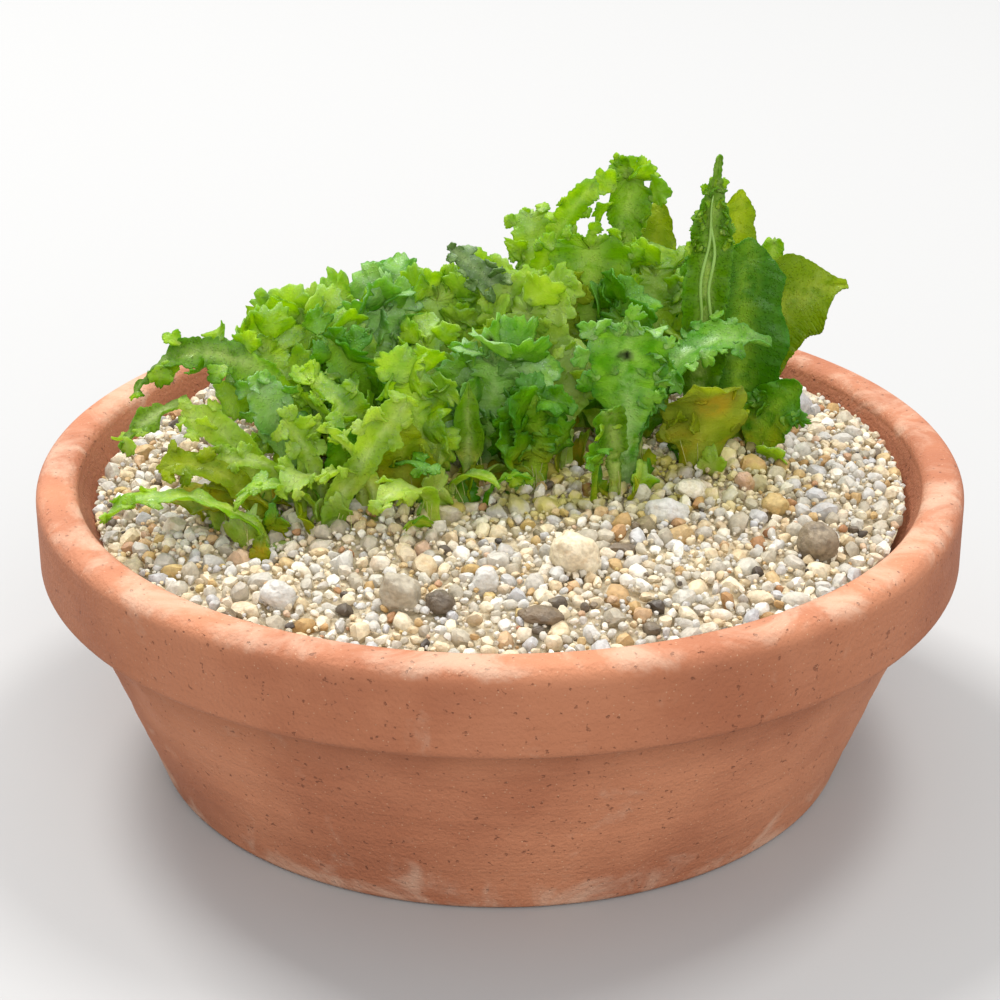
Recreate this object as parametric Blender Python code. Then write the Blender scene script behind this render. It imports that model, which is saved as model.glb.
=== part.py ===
"""Potted pellia: a tuft of frilled liverwort fronds on coarse shell sand in a plain clay pot.

Metres, +Z up. The origin is the centre of the pot's foot, on the surface that the pot stands on.
+X is the tuft's right and +Y its back. Sizes below are in millimetres.
"""

from collections import namedtuple
from math import copysign, cos, hypot, pi, radians, sin, sqrt

import bmesh
import bpy
from mathutils import Matrix, Vector, noise

MM = 0.001

# The pot: a low turned clay pan with a plain band at its rim and a shallow recess in its foot.
POT_HEIGHT = 22.0
RIM_RADIUS = 33.0
RIM_BAND_HEIGHT = 6.4
RIM_BAND_STEP = 1.3
FOOT_RADIUS = 25.4
RECESS_RADIUS = 19.0
RECESS_DEPTH = 0.8
EDGE_ROUNDING = 0.7
FLOOR_THICKNESS = 3.6
INNER_FLOOR_RADIUS = 23.2
INNER_RIM_RADIUS = 30.0
TURNED_STEPS = 36

# The sand: it fills the pot, and its top is a low uneven mound.
SAND_GAP = 0.3
SAND_EDGE_HEIGHT = 19.9
SAND_MOUND = 2.4
SAND_SLOPE = 0.018
LUMP_SIZE = 7.5
LUMP_HEIGHT = 0.55
LUMP_SLICE = 0.5
SAND_RINGS = (26.0, 21.6, 17.0, 12.2, 6.8)

# The fronds: thin blades, thickest along their middle, sewn to a sharp margin all round.
HALF_THICKNESS = 0.34
ROOT_GAP = 0.4
LYING_HEIGHT = 0.85
SPINE_STEPS = 40
BEND_EASE = 1.5
LOBE_ROUNDNESS = 0.7
WAIST_PLACE = 0.33
SHOULDER_PLACE = 0.72
MARGIN_SHARE = 1.6
UNEVEN_PACE = 4.0
UNEVEN_OFFSET = 3.0

# The pebbles: worn stones with shallow dents, sunk to just below their middle in the sand.
DENT_DEPTH = 0.22
DENT_PACE = 1.3
PEBBLE_LIFT = 0.2
DIMPLE_GAP = 0.35

SHARP_ANGLE = radians(40)
MERGE_DISTANCE = 0.001

Tone = namedtuple("Tone", "colour roughness")
BRIGHT = Tone((0.20, 0.47, 0.04), 0.38)
DEEP = Tone((0.05, 0.26, 0.03), 0.40)
TEAL = Tone((0.05, 0.30, 0.13), 0.34)
YELLOW = Tone((0.36, 0.50, 0.05), 0.38)
OLIVE = Tone((0.27, 0.29, 0.03), 0.42)
GREY_GREEN = Tone((0.16, 0.30, 0.16), 0.42)
PALE = Tone((0.42, 0.62, 0.22), 0.36)
CLAY = Tone((0.52, 0.22, 0.12), 0.85)
SAND = Tone((0.68, 0.58, 0.44), 0.80)

# A blade's outline: its width at the base, the waist, the shoulder and the tip as shares of its
# full width, how much its tip is rounded, the lobes down each side and across the tip with their
# depths, and how far its margins ruffle and cup out of its plane, as shares of its width.
Form = namedtuple(
    "Form", "base waist shoulder tip rounding side_lobes side_depth tip_lobes tip_depth ruffle cup"
)
STRAP = Form(0.50, 0.85, 1.00, 0.75, 0.28, 3, 0.36, 2, 0.24, 0.12, 0.06)
FRILL = Form(0.50, 0.90, 1.00, 0.90, 0.26, 3, 0.44, 2, 0.25, 0.15, 0.05)
ROUND = Form(0.50, 0.95, 1.00, 0.70, 0.42, 3, 0.09, 2, 0.04, 0.07, 0.08)
DISC = Form(0.45, 0.95, 1.00, 0.95, 0.40, 3, 0.07, 2, 0.02, 0.06, 0.08)
FAN = Form(0.30, 0.36, 0.90, 1.00, 0.34, 3, 0.26, 3, 0.20, 0.09, 0.05)
HEAD = Form(0.30, 0.24, 0.34, 1.00, 0.40, 2, 0.10, 3, 0.30, 0.06, 0.05)
BROAD = Form(0.50, 0.90, 1.00, 0.92, 0.16, 3, 0.14, 3, 0.10, 0.08, 0.06)
POINTED = Form(0.45, 0.95, 0.90, 0.14, 0.10, 3, 0.09, 2, 0.00, 0.06, 0.10)
SAIL = Form(0.50, 0.80, 1.00, 0.10, 0.05, 2, 0.05, 2, 0.00, 0.05, 0.06)
CLAW = Form(0.50, 0.80, 0.95, 0.16, 0.06, 3, 0.32, 2, 0.00, 0.12, 0.08)
RIBBON = Form(0.60, 0.80, 0.90, 0.85, 0.24, 2, 0.16, 2, 0.30, 0.08, 0.10)
TOOTHED = Form(0.70, 0.60, 0.75, 1.00, 0.10, 2, 0.10, 3, 0.30, 0.06, 0.05)
LANCE = Form(0.30, 1.00, 0.75, 0.06, 0.02, 0, 0.00, 2, 0.00, 0.00, 0.14)
KNOBBY = Form(0.50, 0.70, 1.00, 0.90, 0.24, 4, 0.42, 2, 0.24, 0.12, 0.04)
ROWS_PER_LOBE = 3
PLAIN_ROWS = 6
FEWEST_COLUMNS = 5

# The lobes of one side are staggered against the other's. The notches between them are powers of
# the place across the blade and along it: deep at the margin, and gone at the tip.
LOBE_STAGGER = 2 / ROWS_PER_LOBE
NOTCH_SHARE = 3.0
NOTCH_FADE = 6
SPREAD = 1.5
MARGIN_UNEVENNESS = 0.24
MOST_CUT_BACK = 0.62

# A narrow blade is thinner, and each blade thins out towards its tip.
THICKNESS_SHARE = 0.45
TIP_THINNING = 4

# A frond: where it is rooted, the heading, pitch and roll of its midline in degrees at its base
# and at its tip, and its length and width. Heading 0 leans to the right and 90 to the back, pitch
# 90 is upright, and roll turns the blade about its midline. A third number in a root is how high
# above the sand a branch springs from another frond.
Frond = namedtuple("Frond", "name root heading pitch roll length width form tone")
FRONDS = (
    Frond("round_lobe", (17.2, 3.2), (75, 75), (88, 70), (12, 26), 14.4, 6.4, DISC, DEEP),
    Frond("pointed_sheet", (18.0, 7.8), (10, 14), (90, -12), (84, 66), 14.0, 6.6, SAIL, YELLOW),
    Frond("toothed_tip", (20.0, 11.4), (60, 80), (88, 76), (20, -10), 13.2, 2.4, TOOTHED, BRIGHT),
    Frond("oval_lobe", (16.7, 9.2), (60, 60), (88, 76), (55, 40), 16.2, 3.4, ROUND, YELLOW),
    Frond("tall_pointed", (14.2, 1.6), (50, 50), (88, 82), (20, 45), 21.0, 3.4, POINTED, BRIGHT),
    Frond("mid_right_fan", (11.6, 6.2), (110, 110), (88, 74), (-30, -45), 14.2, 5.2, FRILL, BRIGHT),
    Frond("tall_fan", (9.5, 9.4), (100, 100), (88, 80), (0, 8), 19.0, 5.0, HEAD, BRIGHT),
    Frond("tall_fan_back", (11.4, 11.4), (80, 80), (86, 64), (-5, -25), 14.6, 3.6, ROUND, YELLOW),
    Frond("wide_sheet", (6.5, 4.8), (95, 85), (88, 79), (-12, 0), 15.0, 6.8, BROAD, BRIGHT),
    Frond("knobby_frond", (1.3, 8.7), (0, 0), (88, 46), (88, 88), 18.6, 2.0, KNOBBY, BRIGHT),
    Frond("curled_lobe", (3.3, 11.0), (110, 110), (86, 60), (-5, -20), 14.0, 3.4, BROAD, BRIGHT),
    Frond("grainy_mid", (8.5, 1.6), (80, 80), (86, 68), (-5, -25), 12.8, 5.2, FRILL, DEEP),
    Frond("teal_shelf", (9.9, -1.6), (2, 2), (90, -34), (8, 18), 15.6, 4.8, POINTED, TEAL),
    Frond("dotted_sheet", (8.8, -4.4), (262, 262), (89, 74), (8, 0), 13.2, 6.2, FAN, BRIGHT),
    Frond("amber_sheet", (14.4, -1.6), (-82, -90), (80, 26), (0, 0), 8.2, 6.2, ROUND, OLIVE),
    Frond("right_low_lobe", (18.8, 1.6), (0, 0), (75, 30), (60, 60), 5.4, 4.2, ROUND, DEEP),
    Frond("front_stem", (8.0, -6.6), (250, 250), (84, 56), (20, 50), 7.8, 3.4, FAN, BRIGHT),
    Frond("second_stem", (4.7, -1.8), (70, 70), (86, 76), (40, 40), 8.8, 3.4, FAN, PALE),
    Frond("lance_leaf", (-2.2, -4.4), (90, 90), (88, 86), (0, 0), 6.8, 2.2, LANCE, BRIGHT),
    Frond("mid_frill_a", (-4.2, 2.6), (105, 105), (86, 72), (-15, -35), 13.8, 5.4, FRILL, YELLOW),
    Frond("mid_frill_b", (-1.0, 4.4), (85, 85), (86, 74), (10, 25), 13.2, 5.2, FRILL, BRIGHT),
    Frond("grey_fold", (2.8, 2.4), (178, 178), (89, 28), (-86, -50), 16.4, 2.4, ROUND, GREY_GREEN),
    Frond("mid_frill_c", (1.6, 0.4), (60, 60), (88, 72), (25, 10), 13.8, 5.5, FRILL, BRIGHT),
    Frond("olive_mid", (4.4, 3.1), (75, 75), (86, 76), (20, 40), 12.6, 4.0, STRAP, OLIVE),
    Frond("centre_teal", (-0.4, -2.3), (265, 265), (88, 68), (0, -15), 11.8, 5.6, FRILL, TEAL),
    Frond("centre_front", (-4.9, -1.4), (110, 110), (86, 78), (-20, -45), 11.0, 4.8, STRAP, BRIGHT),
    Frond("front_frill", (2.4, -4.4), (275, 275), (84, 56), (0, 12), 8.6, 4.2, FRILL, DEEP),
    Frond("teal_toothed", (-9.4, 1.5), (30, 30), (86, 66), (60, 82), 13.4, 5.4, FRILL, TEAL),
    Frond("left_crest", (-13.0, 1.2), (160, 160), (86, 68), (-75, -95), 12.8, 5.7, FRILL, BRIGHT),
    Frond("left_crest_b", (-10.4, 5.0), (120, 120), (86, 62), (-30, -10), 12.0, 5.2, FRILL, BRIGHT),
    Frond("left_lobes", (-14.6, -2.0), (175, 175), (84, 58), (-85, -68), 12.8, 5.5, FRILL, BRIGHT),
    Frond("long_arch", (-13.4, -4.4), (180, 180), (90, -78), (-88, -20), 20.4, 3.8, CLAW, BRIGHT),
    Frond("arch_hook", (-21.3, -6.5, 8.6), (192, 192), (-12, -80), (-20, -20), 6.6, 2.8, CLAW, PALE),
    Frond("teal_round", (-14.4, -6.1), (180, 180), (86, 56), (-90, -75), 9.8, 4.0, FAN, TEAL),
    Frond("low_strap_a", (-16.4, -8.0), (176, 176), (86, -5), (-82, -30), 9.8, 2.6, RIBBON, PALE),
    Frond("low_strap_b", (-16.2, -10.1), (180, 182), (68, -30), (-45, -20), 9.2, 2.4, RIBBON, OLIVE),
    Frond("runner", (-15.4, -12.3), (178, 178), (40, -48), (0, 0), 12.8, 2.0, RIBBON, BRIGHT),
    Frond("low_sheet", (-18.2, -7.6), (182, 182), (12, 0), (0, 0), 6.4, 3.6, ROUND, OLIVE),
    Frond("hanging_lobe", (-12.9, -7.6), (255, 255), (75, -60), (0, 0), 6.2, 3.2, RIBBON, PALE),
    Frond("cross_strap", (-11.6, -10.2), (2, 2), (62, 48), (85, 85), 10.4, 2.6, RIBBON, PALE),
    Frond("dark_under", (-9.8, -7.4), (200, 200), (80, 50), (-110, -90), 5.2, 3.6, ROUND, DEEP),
    Frond("spoon_lobe", (-6.6, -8.3), (265, 265), (86, 70), (5, 15), 5.8, 4.2, ROUND, OLIVE),
    Frond("front_drip", (-4.6, -10.6), (232, 232), (60, -45), (0, 0), 6.8, 2.4, RIBBON, PALE),
    Frond("thin_leaf", (-3.4, -7.2), (-40, -40), (50, -40), (0, 0), 5.0, 1.8, LANCE, BRIGHT),
    Frond("bright_strap", (-9.0, -5.2), (178, 178), (86, 0), (-86, -30), 10.4, 3.8, STRAP, BRIGHT),
    Frond("dark_point", (-8.8, -2.6), (178, 178), (84, 40), (-80, -80), 12.0, 4.4, POINTED, DEEP),
    Frond("left_mid_a", (-9.9, -1.0), (100, 100), (86, 80), (-12, 15), 11.2, 4.6, STRAP, BRIGHT),
    Frond("left_mid_b", (-5.8, -5.0), (265, 265), (86, 64), (5, 22), 10.8, 4.8, FRILL, BRIGHT),
    Frond("back_a", (-6.5, 7.2), (110, 110), (80, 48), (-40, -25), 12.0, 5.5, FRILL, DEEP),
    Frond("back_b", (-3.4, 9.6), (95, 95), (78, 40), (20, 10), 10.6, 5.2, STRAP, BRIGHT),
    Frond("back_c", (5.6, 13.0), (80, 80), (75, 35), (-20, -10), 11.4, 5.7, FRILL, BRIGHT),
    Frond("back_d", (14.4, 13.4), (70, 70), (78, 42), (40, 30), 10.4, 5.2, STRAP, DEEP),
    Frond("back_left", (-12.6, 7.6), (140, 140), (72, 28), (-30, -40), 10.4, 5.2, FRILL, BRIGHT),
)

# A pebble: its middle on the sand's surface, its three widths, and its turn in degrees.
Pebble = namedtuple("Pebble", "name place size turn tone seed")
PEBBLES = (
    Pebble("pebble_white", (11.4, -9.4), (3.2, 2.0, 1.8), 12, Tone((0.80, 0.78, 0.74), 0.35), 1.0),
    Pebble("pebble_block", (-14.4, -20.0), (2.4, 2.2, 2.0), 30, Tone((0.78, 0.79, 0.78), 0.40), 2.0),
    Pebble("pebble_brown", (21.4, -13.4), (3.4, 2.8, 2.4), 75, Tone((0.34, 0.24, 0.13), 0.60), 3.0),
    Pebble("pebble_red", (19.0, -8.0), (2.0, 1.7, 1.5), 20, Tone((0.52, 0.16, 0.08), 0.60), 4.0),
    Pebble("pebble_cream", (5.0, -16.4), (4.0, 3.6, 2.8), 50, Tone((0.70, 0.54, 0.35), 0.65), 5.0),
)


def clear_scene():
    """Remove every object that a new scene starts with."""
    for thing in list(bpy.data.objects):
        bpy.data.objects.remove(thing, do_unlink=True)


def make_material(name, tone):
    """A plain Principled material in a piece's own colour."""
    material = bpy.data.materials.new(name)
    material.use_nodes = True
    shader = material.node_tree.nodes["Principled BSDF"]
    shader.inputs["Base Color"].default_value = (*tone.colour, 1.0)
    shader.inputs["Roughness"].default_value = tone.roughness
    material.diffuse_color = (*tone.colour, 1.0)
    return material


def finish_object(name, bm, tone):
    """Turn a mesh in millimetres into a named object in metres with its own material."""
    bmesh.ops.recalc_face_normals(bm, faces=bm.faces)
    bmesh.ops.scale(bm, vec=(MM, MM, MM), verts=bm.verts)
    mesh = bpy.data.meshes.new(name)
    bm.to_mesh(mesh)
    bm.free()
    mesh.shade_smooth()
    mesh.set_sharp_from_angle(angle=SHARP_ANGLE)
    mesh.materials.append(make_material(name, tone))
    thing = bpy.data.objects.new(name, mesh)
    bpy.context.collection.objects.link(thing)
    return thing


def turn_profile(profile):
    """Spin an (r, z) profile, both of whose ends are on the axis, into one closed body."""
    bm = bmesh.new()
    verts = [bm.verts.new((radius, 0.0, height)) for radius, height in profile]
    edges = [bm.edges.new(pair) for pair in zip(verts, verts[1:])]
    bmesh.ops.spin(
        bm, geom=verts + edges, cent=(0, 0, 0), axis=(0, 0, 1), angle=2 * pi, steps=TURNED_STEPS
    )
    bmesh.ops.remove_doubles(bm, verts=bm.verts, dist=MERGE_DISTANCE)
    bmesh.ops.dissolve_degenerate(bm, edges=bm.edges, dist=MERGE_DISTANCE)
    return bm


def inner_radius(height):
    """The pot's inner wall at a height: it flares from the floor to the rim."""
    share = (height - FLOOR_THICKNESS) / (POT_HEIGHT - FLOOR_THICKNESS)
    return INNER_FLOOR_RADIUS + share * (INNER_RIM_RADIUS - INNER_FLOOR_RADIUS)


def pot():
    """The clay pot, with its recessed foot, flared wall, rim band and rounded lip."""
    soft = EDGE_ROUNDING
    band_bottom = POT_HEIGHT - RIM_BAND_HEIGHT
    wall_top_radius = RIM_RADIUS - RIM_BAND_STEP - soft
    profile = (
        (0.0, RECESS_DEPTH),
        (RECESS_RADIUS - soft, RECESS_DEPTH),
        (RECESS_RADIUS, 0.0),
        (FOOT_RADIUS - soft, 0.0),
        (FOOT_RADIUS, soft),
        (wall_top_radius, band_bottom),
        (RIM_RADIUS - soft, band_bottom),
        (RIM_RADIUS, band_bottom + soft),
        (RIM_RADIUS, POT_HEIGHT - soft),
        (RIM_RADIUS - soft, POT_HEIGHT),
        (INNER_RIM_RADIUS + soft, POT_HEIGHT),
        (inner_radius(POT_HEIGHT - soft), POT_HEIGHT - soft),
        (INNER_FLOOR_RADIUS, FLOOR_THICKNESS),
        (0.0, FLOOR_THICKNESS),
    )
    return finish_object("pot", turn_profile(profile), CLAY)


def sand_height(x, y):
    """The height of the sand's top at a place, in mm: a mound, a slight slope and small lumps."""
    reach = min(hypot(x, y) / INNER_RIM_RADIUS, 1.0)
    mound = SAND_MOUND * (1.0 - reach * reach)
    lumps = LUMP_HEIGHT * noise.noise((x / LUMP_SIZE, y / LUMP_SIZE, LUMP_SLICE))
    return SAND_EDGE_HEIGHT + mound + SAND_SLOPE * (x + y) + lumps


def sand():
    """The sand in the pot, with a dimple under each pebble."""
    bottom = FLOOR_THICKNESS + SAND_GAP
    edge_radius = inner_radius(SAND_EDGE_HEIGHT) - SAND_GAP
    profile = [(0.0, bottom), (inner_radius(bottom) - SAND_GAP, bottom), (edge_radius, SAND_EDGE_HEIGHT)]
    profile += [(radius, SAND_EDGE_HEIGHT) for radius in SAND_RINGS]
    profile.append((0.0, SAND_EDGE_HEIGHT))
    bm = turn_profile(profile)
    for vert in bm.verts:
        if vert.co.z > SAND_EDGE_HEIGHT - SAND_GAP:
            vert.co.z = sand_height(vert.co.x, vert.co.y)
    bmesh.ops.triangulate(bm, faces=bm.faces)
    body = finish_object("sand", bm, SAND)
    for stone in PEBBLES:
        cutter = pebble(stone, stone.name + "_dimple", DIMPLE_GAP)
        cutter.hide_render = True
        cutter.display_type = "WIRE"
        cut = body.modifiers.new(stone.name, "BOOLEAN")
        cut.operation = "DIFFERENCE"
        cut.solver = "EXACT"
        cut.object = cutter
    return body


def pebble(stone, name, grown=0.0):
    """A worn pebble, sunk in the sand; grown makes it larger all over."""
    bm = bmesh.new()
    bmesh.ops.create_icosphere(bm, subdivisions=2, radius=1.0)
    half = Vector(stone.size) / 2
    for vert in bm.verts:
        dent = 1.0 + DENT_DEPTH * noise.noise(vert.co * DENT_PACE + Vector((stone.seed, 0.0, 0.0)))
        vert.co = Vector(a * b * dent + c * grown for a, b, c in zip(vert.co, half, vert.co))
    turn = Matrix.Rotation(radians(stone.turn), 4, "Z") @ Matrix.Rotation(radians(stone.turn), 4, "Y")
    bmesh.ops.transform(bm, matrix=turn, verts=bm.verts)
    x, y = stone.place
    height = sand_height(x, y) + PEBBLE_LIFT * stone.size[2]
    bmesh.ops.translate(bm, vec=(x, y, height), verts=bm.verts)
    return finish_object(name, bm, stone.tone)


def between(pair, share):
    """A value part of the way from the first of a pair to the second."""
    return pair[0] + (pair[1] - pair[0]) * share


def trace_spine(frond):
    """Points of the frond's midline. Where it comes down to the sand, it lies along it."""
    x, y, *branch_height = frond.root
    z = sand_height(x, y) + (branch_height[0] if branch_height else ROOT_GAP)
    step = frond.length / SPINE_STEPS
    points = [Vector((x, y, z))]
    for index in range(SPINE_STEPS):
        share = (index + 0.5) / SPINE_STEPS
        heading = radians(between(frond.heading, share))
        pitch = radians(between(frond.pitch, share ** BEND_EASE))
        x += step * cos(pitch) * cos(heading)
        y += step * cos(pitch) * sin(heading)
        z = max(z + step * sin(pitch), sand_height(x, y) + LYING_HEIGHT)
        points.append(Vector((x, y, z)))
    return points


def frame_at(frond, spine, share):
    """The midline's point, and the blade's sideways and outward directions there."""
    place = min(max(share, 0.0), 1.0) * SPINE_STEPS
    index = min(int(place), SPINE_STEPS - 1)
    point = spine[index].lerp(spine[index + 1], place - index)
    ahead = spine[min(index + 2, SPINE_STEPS)] - spine[max(index - 1, 0)]
    ahead.normalize()
    heading = radians(between(frond.heading, share))
    level = Vector((sin(heading), -cos(heading), 0.0))
    level = (level - ahead * level.dot(ahead)).normalized()
    side = Matrix.Rotation(radians(between(frond.roll, share)), 3, ahead) @ level
    return point, side, side.cross(ahead)


def outline_width(form, share):
    """The share of a blade's full width at a share of its length, without its lobes."""
    stops = (
        (0.0, form.base), (WAIST_PLACE, form.waist), (SHOULDER_PLACE, form.shoulder), (1.0, form.tip)
    )
    for (low, start), (high, end) in zip(stops, stops[1:]):
        if share <= high:
            ease = (1.0 - cos(pi * (share - low) / (high - low))) / 2
            return between((start, end), ease)
    return form.tip


def blade_point(frond, spine, along, across):
    """A point midway through the blade: along runs 0 to 1 from its base, across -1 to 1."""
    form = frond.form
    tip_crest = abs(sin(pi * form.tip_lobes * (across + 1.0) / 2)) ** LOBE_ROUNDNESS
    cut_back = form.rounding * across * across + form.tip_depth * (1.0 - tip_crest)
    reach = 1.0 - cut_back * min(frond.width / frond.length, MOST_CUT_BACK)
    point, side, out = frame_at(frond, spine, along * reach)
    wave = sin(pi * (form.side_lobes * along + (LOBE_STAGGER if across > 0 else 0.0)))
    crest = abs(wave) ** LOBE_ROUNDNESS if form.side_lobes else 1.0
    margin = UNEVEN_OFFSET if across > 0 else 0.0
    uneven = noise.noise((UNEVEN_PACE * along, margin, frond.root[0]))
    half_width = frond.width / 2 * outline_width(form, along) * (1.0 + MARGIN_UNEVENNESS * uneven)
    notch = form.side_depth * (1.0 - crest) * abs(across) ** NOTCH_SHARE * (1.0 - along ** NOTCH_FADE)
    sideways = copysign(abs(across) ** SPREAD, across) * half_width * (1.0 - notch)
    edge = abs(across) ** MARGIN_SHARE
    ruffle = frond.width * edge * (form.ruffle * wave * along + form.cup)
    return point + side * sideways + out * ruffle


def facing(middle, row, column):
    """The way that the blade faces at an inner point of its grid."""
    ahead = middle[row + 1, column] - middle[row - 1, column]
    sideways = middle[row, column + 1] - middle[row, column - 1]
    return sideways.cross(ahead).normalized()


def frond_solid(frond):
    """One frond: a front and a back skin over the same outline, which share its margin."""
    spine = trace_spine(frond)
    rows = ROWS_PER_LOBE * frond.form.side_lobes + 1 if frond.form.side_lobes else PLAIN_ROWS
    columns = max(FEWEST_COLUMNS, 2 * frond.form.tip_lobes + 1)
    places = [2.0 * column / (columns - 1) - 1.0 for column in range(columns)]
    middle = {
        (row, column): blade_point(frond, spine, row / (rows - 1), across)
        for row in range(rows) for column, across in enumerate(places)
    }
    bm = bmesh.new()
    front = {}
    back = {}
    for (row, column), point in middle.items():
        if row in (0, rows - 1) or column in (0, columns - 1):
            front[row, column] = back[row, column] = bm.verts.new(point)
            continue
        half_width = (middle[row, columns - 1] - middle[row, 0]).length / 2
        thinning = sqrt((1.0 - places[column] ** 2) * (1.0 - (row / (rows - 1)) ** TIP_THINNING))
        lift = facing(middle, row, column) * min(HALF_THICKNESS, THICKNESS_SHARE * half_width) * thinning
        front[row, column] = bm.verts.new(point + lift)
        back[row, column] = bm.verts.new(point - lift)
    for row in range(rows - 1):
        for column in range(columns - 1):
            corners = ((row, column), (row, column + 1), (row + 1, column + 1), (row + 1, column))
            falls = (middle[corners[0]] - middle[corners[2]]).length
            rises = (middle[corners[1]] - middle[corners[3]]).length
            through_first = falls < rises
            if row in (0, rows - 2) and column in (0, columns - 2):
                through_first = (row == 0) == (column == 0)
            splits = ((0, 1, 2), (0, 2, 3)) if through_first else ((0, 1, 3), (1, 2, 3))
            for split in splits:
                bm.faces.new([front[corners[index]] for index in split])
                bm.faces.new([back[corners[index]] for index in reversed(split)])
    return finish_object(frond.name, bm, frond.tone)


def main():
    """Build the pot, the sand, its pebbles and the fronds."""
    clear_scene()
    pot()
    sand()
    for stone in PEBBLES:
        pebble(stone, stone.name)
    for frond in FRONDS:
        frond_solid(frond)


main()
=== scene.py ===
"""Potted pellia: the finish of a frilled liverwort on coarse shell sand in a plain clay pot.

The plant's sheets, the sand's grains and the pot are worked out in millimetres, as lengths on the
real object, and MM turns them into the frame's metres.
"""

from collections import namedtuple
from math import cos, floor, hypot, pi, radians, sin, tau
from random import Random

import bmesh
import bpy
import numpy as np
from mathutils import Euler, Matrix, Vector, noise


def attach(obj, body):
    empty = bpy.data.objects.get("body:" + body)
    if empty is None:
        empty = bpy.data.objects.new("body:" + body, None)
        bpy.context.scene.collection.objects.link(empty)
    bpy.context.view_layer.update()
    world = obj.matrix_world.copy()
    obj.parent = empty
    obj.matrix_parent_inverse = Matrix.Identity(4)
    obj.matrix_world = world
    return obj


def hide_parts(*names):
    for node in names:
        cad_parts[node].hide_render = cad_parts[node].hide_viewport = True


MM = 0.001

# The pot: a low turned clay pan with a plain band at its rim and a shallow recess in its foot.
POT_HEIGHT = 22.0
RIM_RADIUS = 33.0
RIM_BAND_HEIGHT = 6.4
RIM_BAND_STEP = 1.3
FOOT_RADIUS = 25.4
RECESS_RADIUS = 19.0
RECESS_DEPTH = 0.8
EDGE_ROUNDING = 0.7
LIP_ROUNDING = 1.1
INNER_LIP_ROUNDING = 1.0
FLOOR_THICKNESS = 3.6
INNER_FLOOR_RADIUS = 23.2
INNER_RIM_RADIUS = 30.0
INNER_WALL_HEIGHTS = (19.0, 15.0, 10.0, 6.0)
POT_SIDES = 192
WALL_STEPS = 24
CORNER_STEPS = 6
LIP_STEPS = 8
TURNING_MARK = 0.05
TURNING_PACES = (31.0, 11.0)
POT_SHARP_ANGLE = 40

# The sand: its top is a low uneven mound, and its outer grains stop short of the clay.
SAND_EDGE_HEIGHT = 19.9
SAND_MOUND = 2.4
SAND_SLOPE = 0.018
LUMP_SIZE = 7.5
LUMP_HEIGHT = 0.55
LUMP_SLICE = 0.5
SAND_RADIUS = 29.0
BED_CUTS = 3
BED_TOP = 16.9
BED_TOP_RADIUS = 28.7
BED_SINK = 0.55
BED_SINK_VARIATION = 0.25
WELD_DISTANCE = 0.00001

# The damp film on the sand: its middle, how far it reaches each way, where between its middle, 0,
# and that reach, 1, it fades, and how strong it is.
FILM_MIDDLE = (1.0, -2.5)
FILM_REACH = (19.0, 8.5)
FILM_FADE = (0.55, 1.30)
FILM_STRENGTH = 0.85
PEBBLE_FILM = 0.4

# The fronds' shared geometry.
ROOT_GAP = 0.4
LYING_HEIGHT = 0.85
SPINE_STEPS = 40
BEND_EASE = 1.5
LOBE_ROUNDNESS = 0.7
WAIST_PLACE = 0.33
SHOULDER_PLACE = 0.72
MARGIN_SHARE = 1.6
UNEVEN_PACE = 4.0
UNEVEN_OFFSET = 3.0
LOBE_STAGGER = 2 / 3
NOTCH_SHARE = 3.0
NOTCH_FADE = 6
SPREAD = 1.5
MARGIN_UNEVENNESS = 0.24
MOST_CUT_BACK = 0.62

# A frond's form: its widths at its base, waist, shoulder and tip as shares of its width, how far
# its tip is rounded off, the number and depth of the lobes on its sides and at its tip, how much its
# margins ruffle and how far it is cupped.
Form = namedtuple(
    "Form", "base waist shoulder tip rounding side_lobes side_depth tip_lobes tip_depth ruffle cup"
)
STRAP = Form(0.50, 0.85, 1.00, 0.75, 0.28, 3, 0.36, 2, 0.24, 0.12, 0.06)
FRILL = Form(0.50, 0.90, 1.00, 0.90, 0.26, 3, 0.44, 2, 0.25, 0.15, 0.05)
ROUND = Form(0.50, 0.95, 1.00, 0.70, 0.42, 3, 0.09, 2, 0.04, 0.07, 0.08)
DISC = Form(0.45, 0.95, 1.00, 0.95, 0.40, 3, 0.07, 2, 0.02, 0.06, 0.08)
FAN = Form(0.30, 0.36, 0.90, 1.00, 0.34, 3, 0.26, 3, 0.20, 0.09, 0.05)
HEAD = Form(0.30, 0.24, 0.34, 1.00, 0.40, 2, 0.10, 3, 0.30, 0.06, 0.05)
BROAD = Form(0.50, 0.90, 1.00, 0.92, 0.16, 3, 0.14, 3, 0.10, 0.08, 0.06)
POINTED = Form(0.45, 0.95, 0.90, 0.14, 0.10, 3, 0.09, 2, 0.00, 0.06, 0.10)
SAIL = Form(0.50, 0.80, 1.00, 0.10, 0.05, 2, 0.05, 2, 0.00, 0.05, 0.06)
CLAW = Form(0.50, 0.80, 0.95, 0.16, 0.06, 3, 0.32, 2, 0.00, 0.12, 0.08)
RIBBON = Form(0.60, 0.80, 0.90, 0.85, 0.24, 2, 0.16, 2, 0.30, 0.08, 0.10)
TOOTHED = Form(0.70, 0.60, 0.75, 1.00, 0.10, 2, 0.10, 3, 0.30, 0.06, 0.05)
LANCE = Form(0.30, 1.00, 0.75, 0.06, 0.02, 0, 0.00, 2, 0.00, 0.00, 0.14)
KNOBBY = Form(0.50, 0.70, 1.00, 0.90, 0.24, 4, 0.42, 2, 0.24, 0.12, 0.04)

BRIGHT = "thallus_bright"
DEEP = "thallus_deep"
TEAL = "thallus_teal"
YELLOW = "thallus_yellow"
OLIVE = "thallus_olive"
GREY_GREEN = "thallus_grey"
PALE = "thallus_pale"

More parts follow.
